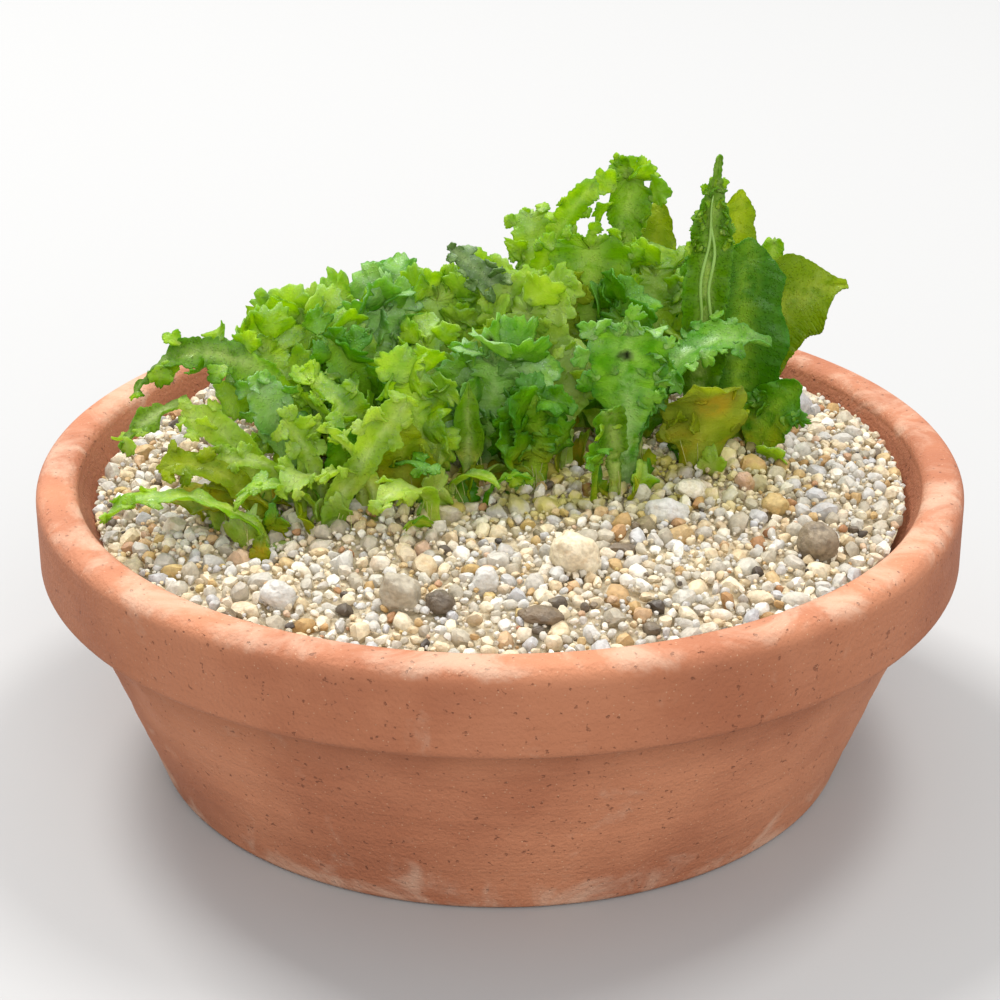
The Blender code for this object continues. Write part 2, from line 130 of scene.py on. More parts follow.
# A frond: where it is rooted, the heading, pitch and roll of its midline in degrees at its base
# and at its tip, or one number where both are the same, and its length and width. A third number
# in a root is the height of its branch.
Frond = namedtuple("Frond", "name root heading pitch roll length width form tone")
FRONDS = tuple(Frond(*row) for row in (
    ("round_lobe", (17.2, 3.2), 75, (88, 70), (12, 26), 14.4, 6.4, DISC, DEEP),
    ("pointed_sheet", (18.0, 7.8), (10, 14), (90, -12), (84, 66), 14.0, 6.6, SAIL, YELLOW),
    ("toothed_tip", (20.0, 11.4), (60, 80), (88, 76), (20, -10), 13.2, 2.4, TOOTHED, BRIGHT),
    ("oval_lobe", (16.7, 9.2), 60, (88, 76), (55, 40), 16.2, 3.4, ROUND, YELLOW),
    ("tall_pointed", (14.2, 1.6), 50, (88, 82), (20, 45), 21.0, 3.4, POINTED, BRIGHT),
    ("mid_right_fan", (11.6, 6.2), 110, (88, 74), (-30, -45), 14.2, 5.2, FRILL, BRIGHT),
    ("tall_fan", (9.5, 9.4), 100, (88, 80), (0, 8), 19.0, 5.0, HEAD, BRIGHT),
    ("tall_fan_back", (11.4, 11.4), 80, (86, 64), (-5, -25), 14.6, 3.6, ROUND, YELLOW),
    ("wide_sheet", (6.5, 4.8), (95, 85), (88, 79), (-12, 0), 15.0, 6.8, BROAD, BRIGHT),
    ("knobby_frond", (1.3, 8.7), 0, (88, 46), 88, 18.6, 2.0, KNOBBY, BRIGHT),
    ("curled_lobe", (3.3, 11.0), 110, (86, 60), (-5, -20), 14.0, 3.4, BROAD, BRIGHT),
    ("grainy_mid", (8.5, 1.6), 80, (86, 68), (-5, -25), 12.8, 5.2, FRILL, DEEP),
    ("teal_shelf", (9.9, -1.6), 2, (90, -34), (8, 18), 15.6, 4.8, POINTED, TEAL),
    ("dotted_sheet", (8.8, -4.4), 262, (89, 74), (8, 0), 13.2, 6.2, FAN, BRIGHT),
    ("amber_sheet", (14.4, -1.6), (-82, -90), (80, 26), 0, 8.2, 6.2, ROUND, OLIVE),
    ("right_low_lobe", (18.8, 1.6), 0, (75, 30), 60, 5.4, 4.2, ROUND, DEEP),
    ("front_stem", (8.0, -6.6), 250, (84, 56), (20, 50), 7.8, 3.4, FAN, BRIGHT),
    ("second_stem", (4.7, -1.8), 70, (86, 76), 40, 8.8, 3.4, FAN, PALE),
    ("lance_leaf", (-2.2, -4.4), 90, (88, 86), 0, 6.8, 2.2, LANCE, BRIGHT),
    ("mid_frill_a", (-4.2, 2.6), 105, (86, 72), (-15, -35), 13.8, 5.4, FRILL, YELLOW),
    ("mid_frill_b", (-1.0, 4.4), 85, (86, 74), (10, 25), 13.2, 5.2, FRILL, BRIGHT),
    ("grey_fold", (2.8, 2.4), 178, (89, 28), (-86, -50), 16.4, 2.4, ROUND, GREY_GREEN),
    ("mid_frill_c", (1.6, 0.4), 60, (88, 72), (25, 10), 13.8, 5.5, FRILL, BRIGHT),
    ("olive_mid", (4.4, 3.1), 75, (86, 76), (20, 40), 12.6, 4.0, STRAP, OLIVE),
    ("centre_teal", (-0.4, -2.3), 265, (88, 68), (0, -15), 11.8, 5.6, FRILL, TEAL),
    ("centre_front", (-4.9, -1.4), 110, (86, 78), (-20, -45), 11.0, 4.8, STRAP, BRIGHT),
    ("front_frill", (2.4, -4.4), 275, (84, 56), (0, 12), 8.6, 4.2, FRILL, DEEP),
    ("teal_toothed", (-9.4, 1.5), 30, (86, 66), (60, 82), 13.4, 5.4, FRILL, TEAL),
    ("left_crest", (-13.0, 1.2), 160, (86, 68), (-75, -95), 12.8, 5.7, FRILL, BRIGHT),
    ("left_crest_b", (-10.4, 5.0), 120, (86, 62), (-30, -10), 12.0, 5.2, FRILL, BRIGHT),
    ("left_lobes", (-14.6, -2.0), 175, (84, 58), (-85, -68), 12.8, 5.5, FRILL, BRIGHT),
    ("long_arch", (-13.4, -4.4), 180, (90, -78), (-88, -20), 20.4, 3.8, CLAW, BRIGHT),
    ("arch_hook", (-21.3, -6.5, 8.6), 192, (-12, -80), -20, 6.6, 2.8, CLAW, PALE),
    ("teal_round", (-14.4, -6.1), 180, (86, 56), (-90, -75), 9.8, 4.0, FAN, TEAL),
    ("low_strap_a", (-16.4, -8.0), 176, (86, -5), (-82, -30), 9.8, 2.6, RIBBON, PALE),
    ("low_strap_b", (-16.2, -10.1), (180, 182), (68, -30), (-45, -20), 9.2, 2.4, RIBBON, OLIVE),
    ("runner", (-15.4, -12.3), 178, (40, -48), 0, 12.8, 2.0, RIBBON, BRIGHT),
    ("low_sheet", (-18.2, -7.6), 182, (12, 0), 0, 6.4, 3.6, ROUND, OLIVE),
    ("hanging_lobe", (-12.9, -7.6), 255, (75, -60), 0, 6.2, 3.2, RIBBON, PALE),
    ("cross_strap", (-11.6, -10.2), 2, (62, 48), 85, 10.4, 2.6, RIBBON, PALE),
    ("dark_under", (-9.8, -7.4), 200, (80, 50), (-110, -90), 5.2, 3.6, ROUND, DEEP),
    ("spoon_lobe", (-6.6, -8.3), 265, (86, 70), (5, 15), 5.8, 4.2, ROUND, OLIVE),
    ("front_drip", (-4.6, -10.6), 232, (60, -45), 0, 6.8, 2.4, RIBBON, PALE),
    ("thin_leaf", (-3.4, -7.2), -40, (50, -40), 0, 5.0, 1.8, LANCE, BRIGHT),
    ("bright_strap", (-9.0, -5.2), 178, (86, 0), (-86, -30), 10.4, 3.8, STRAP, BRIGHT),
    ("dark_point", (-8.8, -2.6), 178, (84, 40), -80, 12.0, 4.4, POINTED, DEEP),
    ("left_mid_a", (-9.9, -1.0), 100, (86, 80), (-12, 15), 11.2, 4.6, STRAP, BRIGHT),
    ("left_mid_b", (-5.8, -5.0), 265, (86, 64), (5, 22), 10.8, 4.8, FRILL, BRIGHT),
    ("back_a", (-6.5, 7.2), 110, (80, 48), (-40, -25), 12.0, 5.5, FRILL, DEEP),
    ("back_b", (-3.4, 9.6), 95, (78, 40), (20, 10), 10.6, 5.2, STRAP, BRIGHT),
    ("back_c", (5.6, 13.0), 80, (75, 35), (-20, -10), 11.4, 5.7, FRILL, BRIGHT),
    ("back_d", (14.4, 13.4), 70, (78, 42), (40, 30), 10.4, 5.2, STRAP, DEEP),
    ("back_left", (-12.6, 7.6), 140, (72, 28), (-30, -40), 10.4, 5.2, FRILL, BRIGHT),
))

# Thin straps among the low fronds, which have no solids of their own.
THIN_STRAPS = tuple(Frond(*row) for row in (
    ("thin_strap_a", (-13.6, -8.6), (185, 190), (70, -45), (-60, -30), 8.6, 1.4, RIBBON, PALE),
    ("thin_strap_b", (-12.4, -9.8), (200, 215), (60, -50), 0, 7.4, 1.3, RIBBON, BRIGHT),
    ("thin_strap_c", (-9.4, -8.8), (240, 235), (75, -40), 20, 6.4, 1.5, RIBBON, PALE),
    ("thin_strap_d", (-7.6, -7.4), (300, 310), (70, -40), 0, 6.2, 1.3, RIBBON, DEEP),
    ("thin_strap_e", (-10.2, -6.6), (150, 170), (80, 20), 60, 8.2, 1.6, RIBBON, BRIGHT),
    ("thin_strap_f", (-8.4, -9.6), (190, 180), (75, 30), (60, 30), 7.0, 1.5, RIBBON, PALE),
    ("thin_strap_g", (-14.6, -10.6), (172, 168), (50, -40), 0, 7.4, 1.2, RIBBON, OLIVE),
    ("thin_strap_h", (-1.0, -8.0), 330, (60, -20), 0, 4.6, 1.2, RIBBON, DEEP),
    ("thin_strap_j", (-12.2, -8.4), (165, 175), (82, 40), (-70, -60), 7.0, 1.5, RIBBON, PALE),
    ("thin_strap_k", (-13.8, -8.6), (60, 40), (80, 60), 60, 6.6, 1.4, RIBBON, PALE),
    ("thin_strap_i", (6.6, -7.6), 280, (80, 30), (40, 60), 4.4, 1.1, RIBBON, DEEP),
))


def colour(red, green, blue):
    """A colour named by its 0 to 255 screen values, as the shaders take it."""
    return tuple((part / 255.0) ** 2.2 for part in (red, green, blue)) + (1.0,)


def between(pair, share):
    """A value part of the way from the first of a pair to the second. A lone number stays."""
    if isinstance(pair, (int, float)):
        return pair
    return pair[0] + (pair[1] - pair[0]) * share


def soft_step(value, low, high):
    """0 below low, 1 above high and smooth between them."""
    share = min(max((value - low) / (high - low), 0.0), 1.0)
    return share * share * (3.0 - 2.0 * share)


def deselect():
    """Leave nothing selected, so that an operator acts only on what is picked next."""
    for thing in bpy.context.selected_objects:
        thing.select_set(False)


def pick(piece):
    """Make a piece the only selected and the active one."""
    deselect()
    piece.select_set(True)
    bpy.context.view_layer.objects.active = piece


def add_object(name, data):
    """Put a mesh, a light or a camera in the scene."""
    made = bpy.data.objects.new(name, data)
    bpy.context.collection.objects.link(made)
    return made


def open_piece(name, notes=()):
    """An empty piece in edit mode, each of whose points will carry these notes."""
    bpy.ops.mesh.primitive_plane_add(size=1.0)
    piece = bpy.context.object
    piece.name = name
    for note in notes:
        piece.data.attributes.new(note, "FLOAT", "POINT")
    bpy.ops.object.mode_set(mode="EDIT")
    bpy.ops.mesh.delete(type="VERT")
    return piece


def carry(mesh, name, values):
    """Store a value at each point of a mesh."""
    mesh.attributes.new(name, "FLOAT", "POINT").data.foreach_set("value", values)


def settle(piece, nodes, material):
    """Give a finished piece its body and its finish, and hide the solids that it stands for."""
    piece.data.materials.clear()
    piece.data.materials.append(material)
    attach(piece, "root")
    if nodes:
        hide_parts(*nodes)


class Nodes:
    """A material's or a group's nodes, with short ways to add to them. Sizes are in millimetres."""

    def __init__(self, tree):
        self.tree = tree

    def fill(self, node, inputs):
        """Give a node's inputs their values, or link them to other nodes' outputs."""
        for name, value in inputs.items():
            if isinstance(value, bpy.types.NodeSocket):
                self.tree.links.new(value, node.inputs[name])
            else:
                node.inputs[name].default_value = value

    def add(self, kind, inputs, **settings):
        """Add a node with its settings and its inputs."""
        made = self.tree.nodes.new("ShaderNode" + kind)
        for name, value in settings.items():
            setattr(made, name, value)
        self.fill(made, inputs)
        return made

    def where(self):
        """A point's own place on the object."""
        made = self.tree.nodes.get("Texture Coordinate") or self.add("TexCoord", {})
        return made.outputs["Object"]

    def mix(self, share, low, high, blend="MIX"):
        """A colour between two colours."""
        inputs = {0: share, 6: low, 7: high}
        return self.add("Mix", inputs, data_type="RGBA", blend_type=blend).outputs[2]

    def layers(self, tone, *layers):
        """A colour with others laid over it, each with its share."""
        for share, over in layers:
            tone = self.mix(share, tone, over)
        return tone

    def maths(self, operation, first, second, clamp=False):
        """One arithmetic step on two values."""
        inputs = {0: first, 1: second}
        return self.add("Math", inputs, operation=operation, use_clamp=clamp).outputs[0]

    def times(self, first, second, clamp=False):
        """The product of two values."""
        return self.maths("MULTIPLY", first, second, clamp)

    def plus(self, first, second, clamp=False):
        """The sum of two values."""
        return self.maths("ADD", first, second, clamp)

    def ranged(self, value, low, high, start=0.0, end=1.0):
        """A value's place between low and high, smoothly turned into one between start and end."""
        inputs = {"Value": value, "From Min": low, "From Max": high, "To Min": start, "To Max": end}
        return self.add("MapRange", inputs, interpolation_type="SMOOTHSTEP").outputs[0]

    def cloud(self, size, detail=3.0, roughness=0.55, distortion=0.0):
        """Soft noise whose patches are about this size."""
        inputs = {"Vector": self.where(), "Scale": 1.0 / (size * MM), "Detail": detail}
        inputs |= {"Roughness": roughness, "Distortion": distortion}
        return self.add("TexNoise", inputs).outputs["Fac"]

    def patches(self, size, low, high, start=0.0, end=1.0, **detail):
        """Patches of soft noise between two thresholds."""
        return self.ranged(self.cloud(size, **detail), low, high, start, end)

    def cells(self, size):
        """Rounded cells of about this size."""
        inputs = {"Vector": self.where(), "Scale": 1.0 / (size * MM)}
        return self.add("TexVoronoi", inputs).outputs["Distance"]

    def stored(self, name):
        """A value that the mesh carries at each point."""
        return self.add("Attribute", {}, attribute_name=name).outputs["Fac"]

    def bump(self, height, depth):
        """A surface raised by a height whose full range is this depth."""
        return self.add("Bump", {"Height": height, "Distance": depth * MM}).outputs["Normal"]

    def use(self, group, inputs):
        """A group with its own values."""
        made = self.tree.nodes.new("ShaderNodeGroup")
        made.node_tree = group
        self.fill(made, inputs)
        return made.outputs

    def let_through(self, share, tone):
        """Let a share of the light through the shader, in its own tone."""
        through = self.add("BsdfTranslucent", {"Color": tone}).outputs[0]
        opaque = self.tree.nodes["Principled BSDF"].outputs[0]
        both = self.add("MixShader", {0: share, 1: opaque, 2: through}).outputs[0]
        self.fill(self.tree.nodes["Material Output"], {"Surface": both})


LOOK_SOCKETS = ("Base Color", "Roughness", "Normal")


def new_group(name, inputs, outputs):
    """A group's nodes, its given values and its output node, from its sockets' names and kinds."""
    tree = bpy.data.node_groups.new(name, "ShaderNodeTree")
    for way, sockets in (("INPUT", inputs), ("OUTPUT", outputs)):
        for label, kind in sockets.items():
            tree.interface.new_socket(label, in_out=way, socket_type="NodeSocket" + kind)
    given = tree.nodes.new("NodeGroupInput").outputs
    return Nodes(tree), given, tree.nodes.new("NodeGroupOutput")


def new_material(name):
    """A material, its nodes and its Principled shader."""
    material = bpy.data.materials.new(name)
    material.use_nodes = True
    return material, Nodes(material.node_tree), material.node_tree.nodes["Principled BSDF"]


# The tissue's colours: its body, the hollows between, the rib, the margin, a painted sheen that is
# paler on faces that point up, as if lit from above, the foot and the light that comes through. Two
# values follow: how strong the painted sheen is, and how much of the light comes through.
TISSUE_COLOURS = ("Body", "Hollow", "Rib", "Margin", "Crown", "Foot", "Through")
TISSUES = {
    BRIGHT: (
        (182, 214, 36), (118, 170, 2), (222, 236, 142), (104, 164, 50),
        (206, 234, 172), (208, 208, 84), (216, 240, 44), 1.0, 0.56,
    ),
    DEEP: (
        (110, 168, 4), (68, 126, 0), (176, 212, 62), (62, 132, 30),
        (152, 210, 126), (174, 182, 34), (172, 216, 16), 0.9, 0.50,
    ),
    TEAL: (
        (146, 196, 62), (84, 152, 26), (204, 230, 158), (92, 160, 80),
        (202, 230, 184), (188, 204, 80), (188, 226, 70), 1.1, 0.50,
    ),
    YELLOW: (
        (176, 196, 20), (128, 160, 2), (214, 222, 90), (126, 146, 14),
        (190, 220, 116), (200, 190, 50), (222, 230, 30), 0.6, 0.60,
    ),
    OLIVE: (
        (166, 184, 22), (114, 146, 2), (206, 214, 90), (140, 156, 26),
        (174, 204, 96), (204, 176, 46), (216, 222, 30), 0.6, 0.60,
    ),
    GREY_GREEN: (
        (140, 170, 96), (82, 112, 50), (190, 208, 142), (98, 130, 74),
        (170, 194, 160), (150, 162, 88), (150, 184, 96), 0.8, 0.38,
    ),
    PALE: (
        (188, 212, 80), (142, 184, 30), (226, 238, 170), (142, 190, 74),
        (212, 234, 172), (212, 212, 114), (228, 240, 100), 0.8, 0.60,
    ),
}
DARKEST_TISSUE = colour(64, 112, 0)
AMBER = colour(222, 196, 60)
AMBER_THROUGH = colour(246, 210, 48)
SPOT = colour(14, 22, 12)
SPOT_THROUGH = colour(10, 14, 8)


def tissue_group():
    """Liverwort tissue: patches, a pale rib, tinted margins, a painted sheen on faces that point up and
    tiny round cells.
    """
    inputs = dict.fromkeys(TISSUE_COLOURS, "Color") | {"Speckle": "Float"}
    outputs = {"Base Color": "Color", "Glow": "Color", "Roughness": "Float", "Normal": "Vector"}
    nodes, given, result = new_group("tissue", inputs, outputs)
    hollow = given["Hollow"]
    shade = nodes.stored("shade")
    grain = nodes.cells(0.19)
    dots = nodes.ranged(grain, 0.44, 0.10)
    # Painted sheen: faces that point up are painted paler, dotted by the cells, as if lit from above.
    crown = nodes.times(nodes.stored("crown"), nodes.patches(1.5, 0.36, 0.60))
    sheen = nodes.plus(nodes.times(crown, 0.38), nodes.times(nodes.times(crown, dots), 0.7))
    sheen = nodes.times(sheen, nodes.ranged(shade, 0.15, 0.95, 0.25, 1.35))
    rim = nodes.ranged(nodes.stored("edge"), 0.80, 1.0)
    amber = nodes.times(nodes.stored("amber"), nodes.patches(0.9, 0.3, 0.6, 0.3, 0.75))
    spot = nodes.stored("spot")
    patches = nodes.patches(1.8, 0.38, 0.62, detail=4.0, roughness=0.6, distortion=0.4)
    tone = nodes.layers(
        nodes.mix(patches, hollow, given["Body"]),
        (nodes.ranged(shade, 0.40, 0.0, 0.0, 0.80), hollow),
        (nodes.times(nodes.ranged(shade, 0.20, 0.0), 0.6), DARKEST_TISSUE),
        (nodes.ranged(shade, 0.60, 1.0, 0.0, 0.50), given["Rib"]),
        (
            nodes.times(nodes.stored("foot"), nodes.patches(1.4, 0.3, 0.6)),
            nodes.mix(nodes.patches(3.4, 0.40, 0.58), hollow, given["Foot"]),
        ),
        (nodes.times(nodes.stored("rib"), nodes.patches(1.1, 0.30, 0.6)), given["Rib"]),
        (nodes.times(rim, nodes.patches(2.0, 0.30, 0.60, 0.0, 0.65)), given["Margin"]),
        # The painted sheen, laid over the tone.
        (nodes.times(sheen, given["Speckle"], clamp=True), given["Crown"]),
        (nodes.times(nodes.ranged(grain, 0.3, 0.75), 0.25), hollow),
        (amber, AMBER),
        (spot, SPOT),
    )
    lit = nodes.ranged(shade, 0.0, 0.40, 0.15, 0.55)
    glow = nodes.layers(tone, (lit, given["Through"]), (amber, AMBER_THROUGH), (spot, SPOT_THROUGH))
    relief = nodes.plus(nodes.times(dots, 0.55), nodes.cloud(0.7))
    wet = nodes.patches(1.2, 0.35, 0.65, 0.28, 0.52)
    looks = {"Base Color": tone, "Glow": glow, "Roughness": wet, "Normal": nodes.bump(relief, 0.12)}
    nodes.fill(result, looks)
    return nodes.tree


def tissue_material(name, group):
    """Moist thin tissue that lets light through."""
    *tones, sheen_speckle, glow = TISSUES[name]
    material, nodes, shader = new_material(name)
    inputs = {label: colour(*tone) for label, tone in zip(TISSUE_COLOURS, tones)}
    # The painted sheen's strength goes in with the colours.
    tissue = nodes.use(group, inputs | {"Speckle": sheen_speckle})
    nodes.fill(shader, {label: tissue[label] for label in LOOK_SOCKETS})
    nodes.fill(shader, {"Specular IOR Level": 0.18, "Coat Weight": 0.06, "Coat Roughness": 0.10})
    nodes.let_through(glow, tissue["Glow"])
    return material


def clay_material():
    """Unglazed fired clay: turned rings, grit, pores, a pale bloom and a damp band by the sand."""
    material, nodes, shader = new_material("clay")
    height = nodes.add("SeparateXYZ", {0: nodes.where()}).outputs["Z"]
    drifts = nodes.cloud(5.0, 6.0, 0.62, 0.6)
    pores = nodes.patches(0.45, 0.66, 0.74, detail=2.0)
    low = nodes.ranged(height, 6.0 * MM, 0.5 * MM)
    lip = nodes.ranged(height, 20.6 * MM, 22.0 * MM)
    reach = nodes.times(nodes.plus(low, lip, clamp=True), 0.20)
    bloom = nodes.ranged(nodes.plus(drifts, reach), 0.60, 0.84)
    damp = nodes.ranged(nodes.plus(height, nodes.times(drifts, 5.0 * MM)), 11.0 * MM, 19.0 * MM)
    damp = nodes.times(damp, nodes.ranged(height, 21.6 * MM, 20.4 * MM))
    warm = nodes.patches(14.0, 0.35, 0.65, detail=5.0)
    tone = nodes.layers(
        nodes.mix(warm, colour(160, 100, 72), colour(182, 120, 88)),
        (nodes.times(nodes.ranged(nodes.cells(0.5), 0.14, 0.05), 0.55), colour(206, 168, 136)),
        (nodes.times(pores, 0.6), colour(104, 60, 42)),
        (nodes.times(bloom, 0.42), colour(214, 188, 164)),
        (nodes.times(damp, 0.34), colour(116, 66, 44)),
    )
    flat = nodes.add("Mapping", {"Vector": nodes.where(), "Scale": (60.0, 60.0, 1500.0)}).outputs[0]
    rings = nodes.add("TexNoise", {"Vector": flat, "Scale": 1.0, "Detail": 2.0}).outputs["Fac"]
    fine = nodes.plus(nodes.times(rings, 0.7), nodes.cloud(0.3))
    relief = nodes.maths("SUBTRACT", fine, nodes.times(pores, 0.6))
    rough = nodes.ranged(drifts, 0.3, 0.7, 0.72, 0.92)
    nodes.fill(shader, {"Base Color": tone, "Roughness": rough, "Specular IOR Level": 0.3})
    nodes.fill(shader, {"Normal": nodes.bump(relief, 0.12)})
    return material


def strand_material(name, tone, roughness):
    """Pale tissue threads, faintly mottled along their length."""
    material, nodes, shader = new_material(name)
    mottled = nodes.mix(nodes.patches(0.5, 0.35, 0.65, 0.0, 0.35), tone, colour(120, 150, 70))
    nodes.fill(shader, {"Base Color": mottled, "Roughness": roughness, "Coat Weight": 0.2})
    return material


FILM_COLOUR = colour(186, 176, 72)
# A kind of stone: its grains' colours, its stain, how much it is stained, and how much of the light
# comes through it.
Stone = namedtuple("Stone", "tones stain staining through")
STONES = {
    "quartz": Stone((
        (214, 210, 198), (204, 194, 172), (224, 221, 213), (190, 179, 156), (214, 203, 179),
        (204, 202, 200), (219, 212, 193),
    ), (176, 128, 66), 0.16, 0.30),
    "shell": Stone((
        (219, 203, 169), (232, 225, 208), (206, 182, 141), (225, 212, 182), (214, 192, 153),
        (232, 229, 218), (197, 175, 136),
    ), (176, 128, 66), 0.34, 0.10),
    "honey": Stone((
        (199, 169, 115), (212, 184, 136), (190, 153, 97), (210, 179, 149), (177, 126, 86),
        (205, 180, 119), (166, 104, 71),
    ), (176, 128, 66), 0.40, 0.18),
    "dark": Stone((
        (112, 98, 78), (74, 64, 54), (138, 122, 98), (54, 46, 42), (122, 104, 80),
    ), (48, 36, 26), 0.50, 0.0),
}


def stone_group():
    """A worn grain: mottling, fine grit, and a yellow-green film where the sand is damp."""
    inputs = {"Tone": "Color", "Stain": "Color", "Staining": "Float", "Film": "Float"}
    outputs = {"Base Color": "Color", "Roughness": "Float", "Normal": "Vector"}
    nodes, given, result = new_group("worn_stone", inputs, outputs)
    blotch = nodes.patches(0.9, 0.48, 0.70, detail=5.0)
    tone = nodes.mix(nodes.times(blotch, given["Staining"]), given["Tone"], given["Stain"])
    bright = nodes.patches(0.35, 0.35, 0.65, 0.86, 1.08)
    lit = nodes.add("CombineColor", {0: bright, 1: bright, 2: bright}).outputs[0]
    film = nodes.times(given["Film"], nodes.patches(2.2, 0.35, 0.6))
    tone = nodes.mix(film, nodes.mix(1.0, tone, lit, "MULTIPLY"), FILM_COLOUR)
    rough = nodes.patches(0.6, 0.3, 0.7, 0.42, 0.72)
    relief = nodes.bump(nodes.cloud(0.22, 4.0), 0.09)
    nodes.fill(result, {"Base Color": tone, "Roughness": rough, "Normal": relief})
    return nodes.tree


def stone_material(name, group):
    """Grains of one kind. The mesh carries each one's own tint and the damp film."""
    look = STONES[name]
    material, nodes, shader = new_material(name)
    ramp = nodes.add("ValToRGB", {"Fac": nodes.stored("tint")})
    stops = ramp.color_ramp.elements
    while len(stops) < len(look.tones):
        stops.new(0.5)
    for index, tone in enumerate(look.tones):
        stops[index].position = index / (len(look.tones) - 1)
        stops[index].color = colour(*tone)
    stone = nodes.use(group, {
        "Tone": ramp.outputs["Color"], "Stain": colour(*look.stain), "Staining": look.staining,
        "Film": nodes.stored("film"),
    })
    nodes.fill(shader, {label: stone[label] for label in LOOK_SOCKETS})
    if look.through:
        nodes.let_through(look.through, stone["Base Color"])
    return material


def sand_height(x, y):
    """The height of the sand's top at a place: a mound, a slight slope and small lumps."""
    reach = min(hypot(x, y) / INNER_RIM_RADIUS, 1.0)
    mound = SAND_MOUND * (1.0 - reach * reach)
    lumps = LUMP_HEIGHT * noise.noise((x / LUMP_SIZE, y / LUMP_SIZE, LUMP_SLICE))
    return SAND_EDGE_HEIGHT + mound + SAND_SLOPE * (x + y) + lumps


def trace_spine(frond):
    """Points of the frond's midline. Where it comes down to the sand, it lies along it."""
    x, y, *branch_height = frond.root
    z = sand_height(x, y) + (branch_height[0] if branch_height else ROOT_GAP)
    step = frond.length / SPINE_STEPS
    points = [Vector((x, y, z))]
    for index in range(SPINE_STEPS):
        share = (index + 0.5) / SPINE_STEPS
        heading = radians(between(frond.heading, share))
        pitch = radians(between(frond.pitch, share ** BEND_EASE))
        x += step * cos(pitch) * cos(heading)
        y += step * cos(pitch) * sin(heading)
        z = max(z + step * sin(pitch), sand_height(x, y) + LYING_HEIGHT)
        points.append(Vector((x, y, z)))
    return points


def frame_at(frond, spine, share):
    """The midline's point, and the blade's ahead, sideways and outward directions there."""
    position = min(max(share, 0.0), 1.0) * SPINE_STEPS
    index = min(int(position), SPINE_STEPS - 1)
    point = spine[index].lerp(spine[index + 1], position - index)
    ahead = spine[min(index + 2, SPINE_STEPS)] - spine[max(index - 1, 0)]
    ahead.normalize()
    heading = radians(between(frond.heading, share))
    level = Vector((sin(heading), -cos(heading), 0.0))
    level = (level - ahead * level.dot(ahead)).normalized()
    side = Matrix.Rotation(radians(between(frond.roll, share)), 3, ahead) @ level
    return point, ahead, side, side.cross(ahead)


def outline_width(form, share):
    """The share of a blade's full width at a share of its length, without its lobes."""
    places = (0.0, WAIST_PLACE, SHOULDER_PLACE, 1.0)
    widths = (form.base, form.waist, form.shoulder, form.tip)
    for low, high, start, end in zip(places, places[1:], widths, widths[1:]):
        if share <= high:
            ease = (1.0 - cos(pi * (share - low) / (high - low))) / 2
            return between((start, end), ease)
    return form.tip


# The sheets' fine form: how far apart their mesh lines are, and the waves, crumples and blisters of
# their faces. The least of a wave or a crumple is its share on a frond whose margin is plain.
SIDE_STEP = 0.10
LEAST_SIDE_COUNT = 24
TIP_STEP = 0.09
LEAST_TIP_COUNT = 16
TANGENT_REACH = 3
RINGS = 8
RING_CROWDING = 1.6
FRAME_STEPS = 120
BARE_FOOT = 0.16
FRINGE_START = 0.4
CORE_START = 0.2
SEED_SHARE = 0.37
TIP_PULL = 1.25
RIB_END = 0.5
LEAST_TIP_WIDTH = 0.3
WAVER_SIZE = 2.7
WAVER_HEIGHT = 0.62
LEAST_WAVER = 0.35
FULL_WAVER_WIDTH = 5.0
CURL_CROWDING = 2.5
CRUMPLE_SIZE = 1.25
CRUMPLE_HEIGHT = 0.24
LEAST_CRUMPLE = 0.3
BLISTER_SIZE = 0.6
BLISTER_HEIGHT = 0.07
SHEET_THICKNESS = 0.22
MARGIN_THICKNESS_SHARE = 0.4
RIB_WIDTH = 0.22
RIB_FADE = 0.6
ROOT_SINK = 1.3
ROOT_SINK_SHARE = 0.10
GROUP_NAME = "thickness"
MERGE_DISTANCE = 0.000001

# What repeats along a margin: how far apart, how round its crests are, the height that lies on the
# margin, its strength, and by how much, how slowly and from which shift of the seed that wavers.
Repeat = namedtuple("Repeat", "pitch roundness middle strength swing slowness shift")
LOBES = Repeat(2.5, 0.6, 0.62, 0.9, 0.8, 2.2, 3.0)
CRIMPS = Repeat(0.95, 0.75, 0.56, 0.8, 1.1, 1.6, 7.0)
TEETH = Repeat(0.37, 0.9, 0.50, 0.9, 0.9, 0.8, 11.0)
NOISE_SLICE = 7.7
# How far and how slowly the lobes drift along a margin, how much more the crimps and the teeth do,
# and how the lobes' and the crimps' curl wavers.
DRIFT = 0.5
DRIFT_SLOWNESS = 2.9
CRIMP_DRIFT = 0.8
CRIMP_DRIFT_SLOWNESS = 1.1
TOOTH_DRIFT = 3.0
CURL = 0.8
CURL_SWING = 0.6
CURL_SLOWNESS = 2.7
CRIMP_CURL = 0.42

# A margin's fringe: the depths of its lobes, of the crimps on them and of the teeth on those, and
# how far the lobes curl, by turns, to one side and to the other.
Fringe = namedtuple("Fringe", "lobes crimps teeth curl")
FRINGES = {
    STRAP: Fringe(0.50, 0.34, 0.14, 0.60),
    FRILL: Fringe(0.60, 0.40, 0.15, 0.72),
    ROUND: Fringe(0.12, 0.07, 0.05, 0.28),
    DISC: Fringe(0.10, 0.06, 0.05, 0.26),
    FAN: Fringe(0.16, 0.12, 0.08, 0.30),
    HEAD: Fringe(0.34, 0.24, 0.11, 0.44),
    BROAD: Fringe(0.24, 0.26, 0.13, 0.40),
    POINTED: Fringe(0.12, 0.12, 0.08, 0.24),
    SAIL: Fringe(0.05, 0.05, 0.05, 0.14),
    CLAW: Fringe(0.34, 0.22, 0.10, 0.40),
    RIBBON: Fringe(0.14, 0.10, 0.06, 0.26),
    TOOTHED: Fringe(0.06, 0.05, 0.05, 0.16),
    LANCE: Fringe(0.00, 0.02, 0.03, 0.06),
    KNOBBY: Fringe(0.26, 0.26, 0.12, 0.24),
}

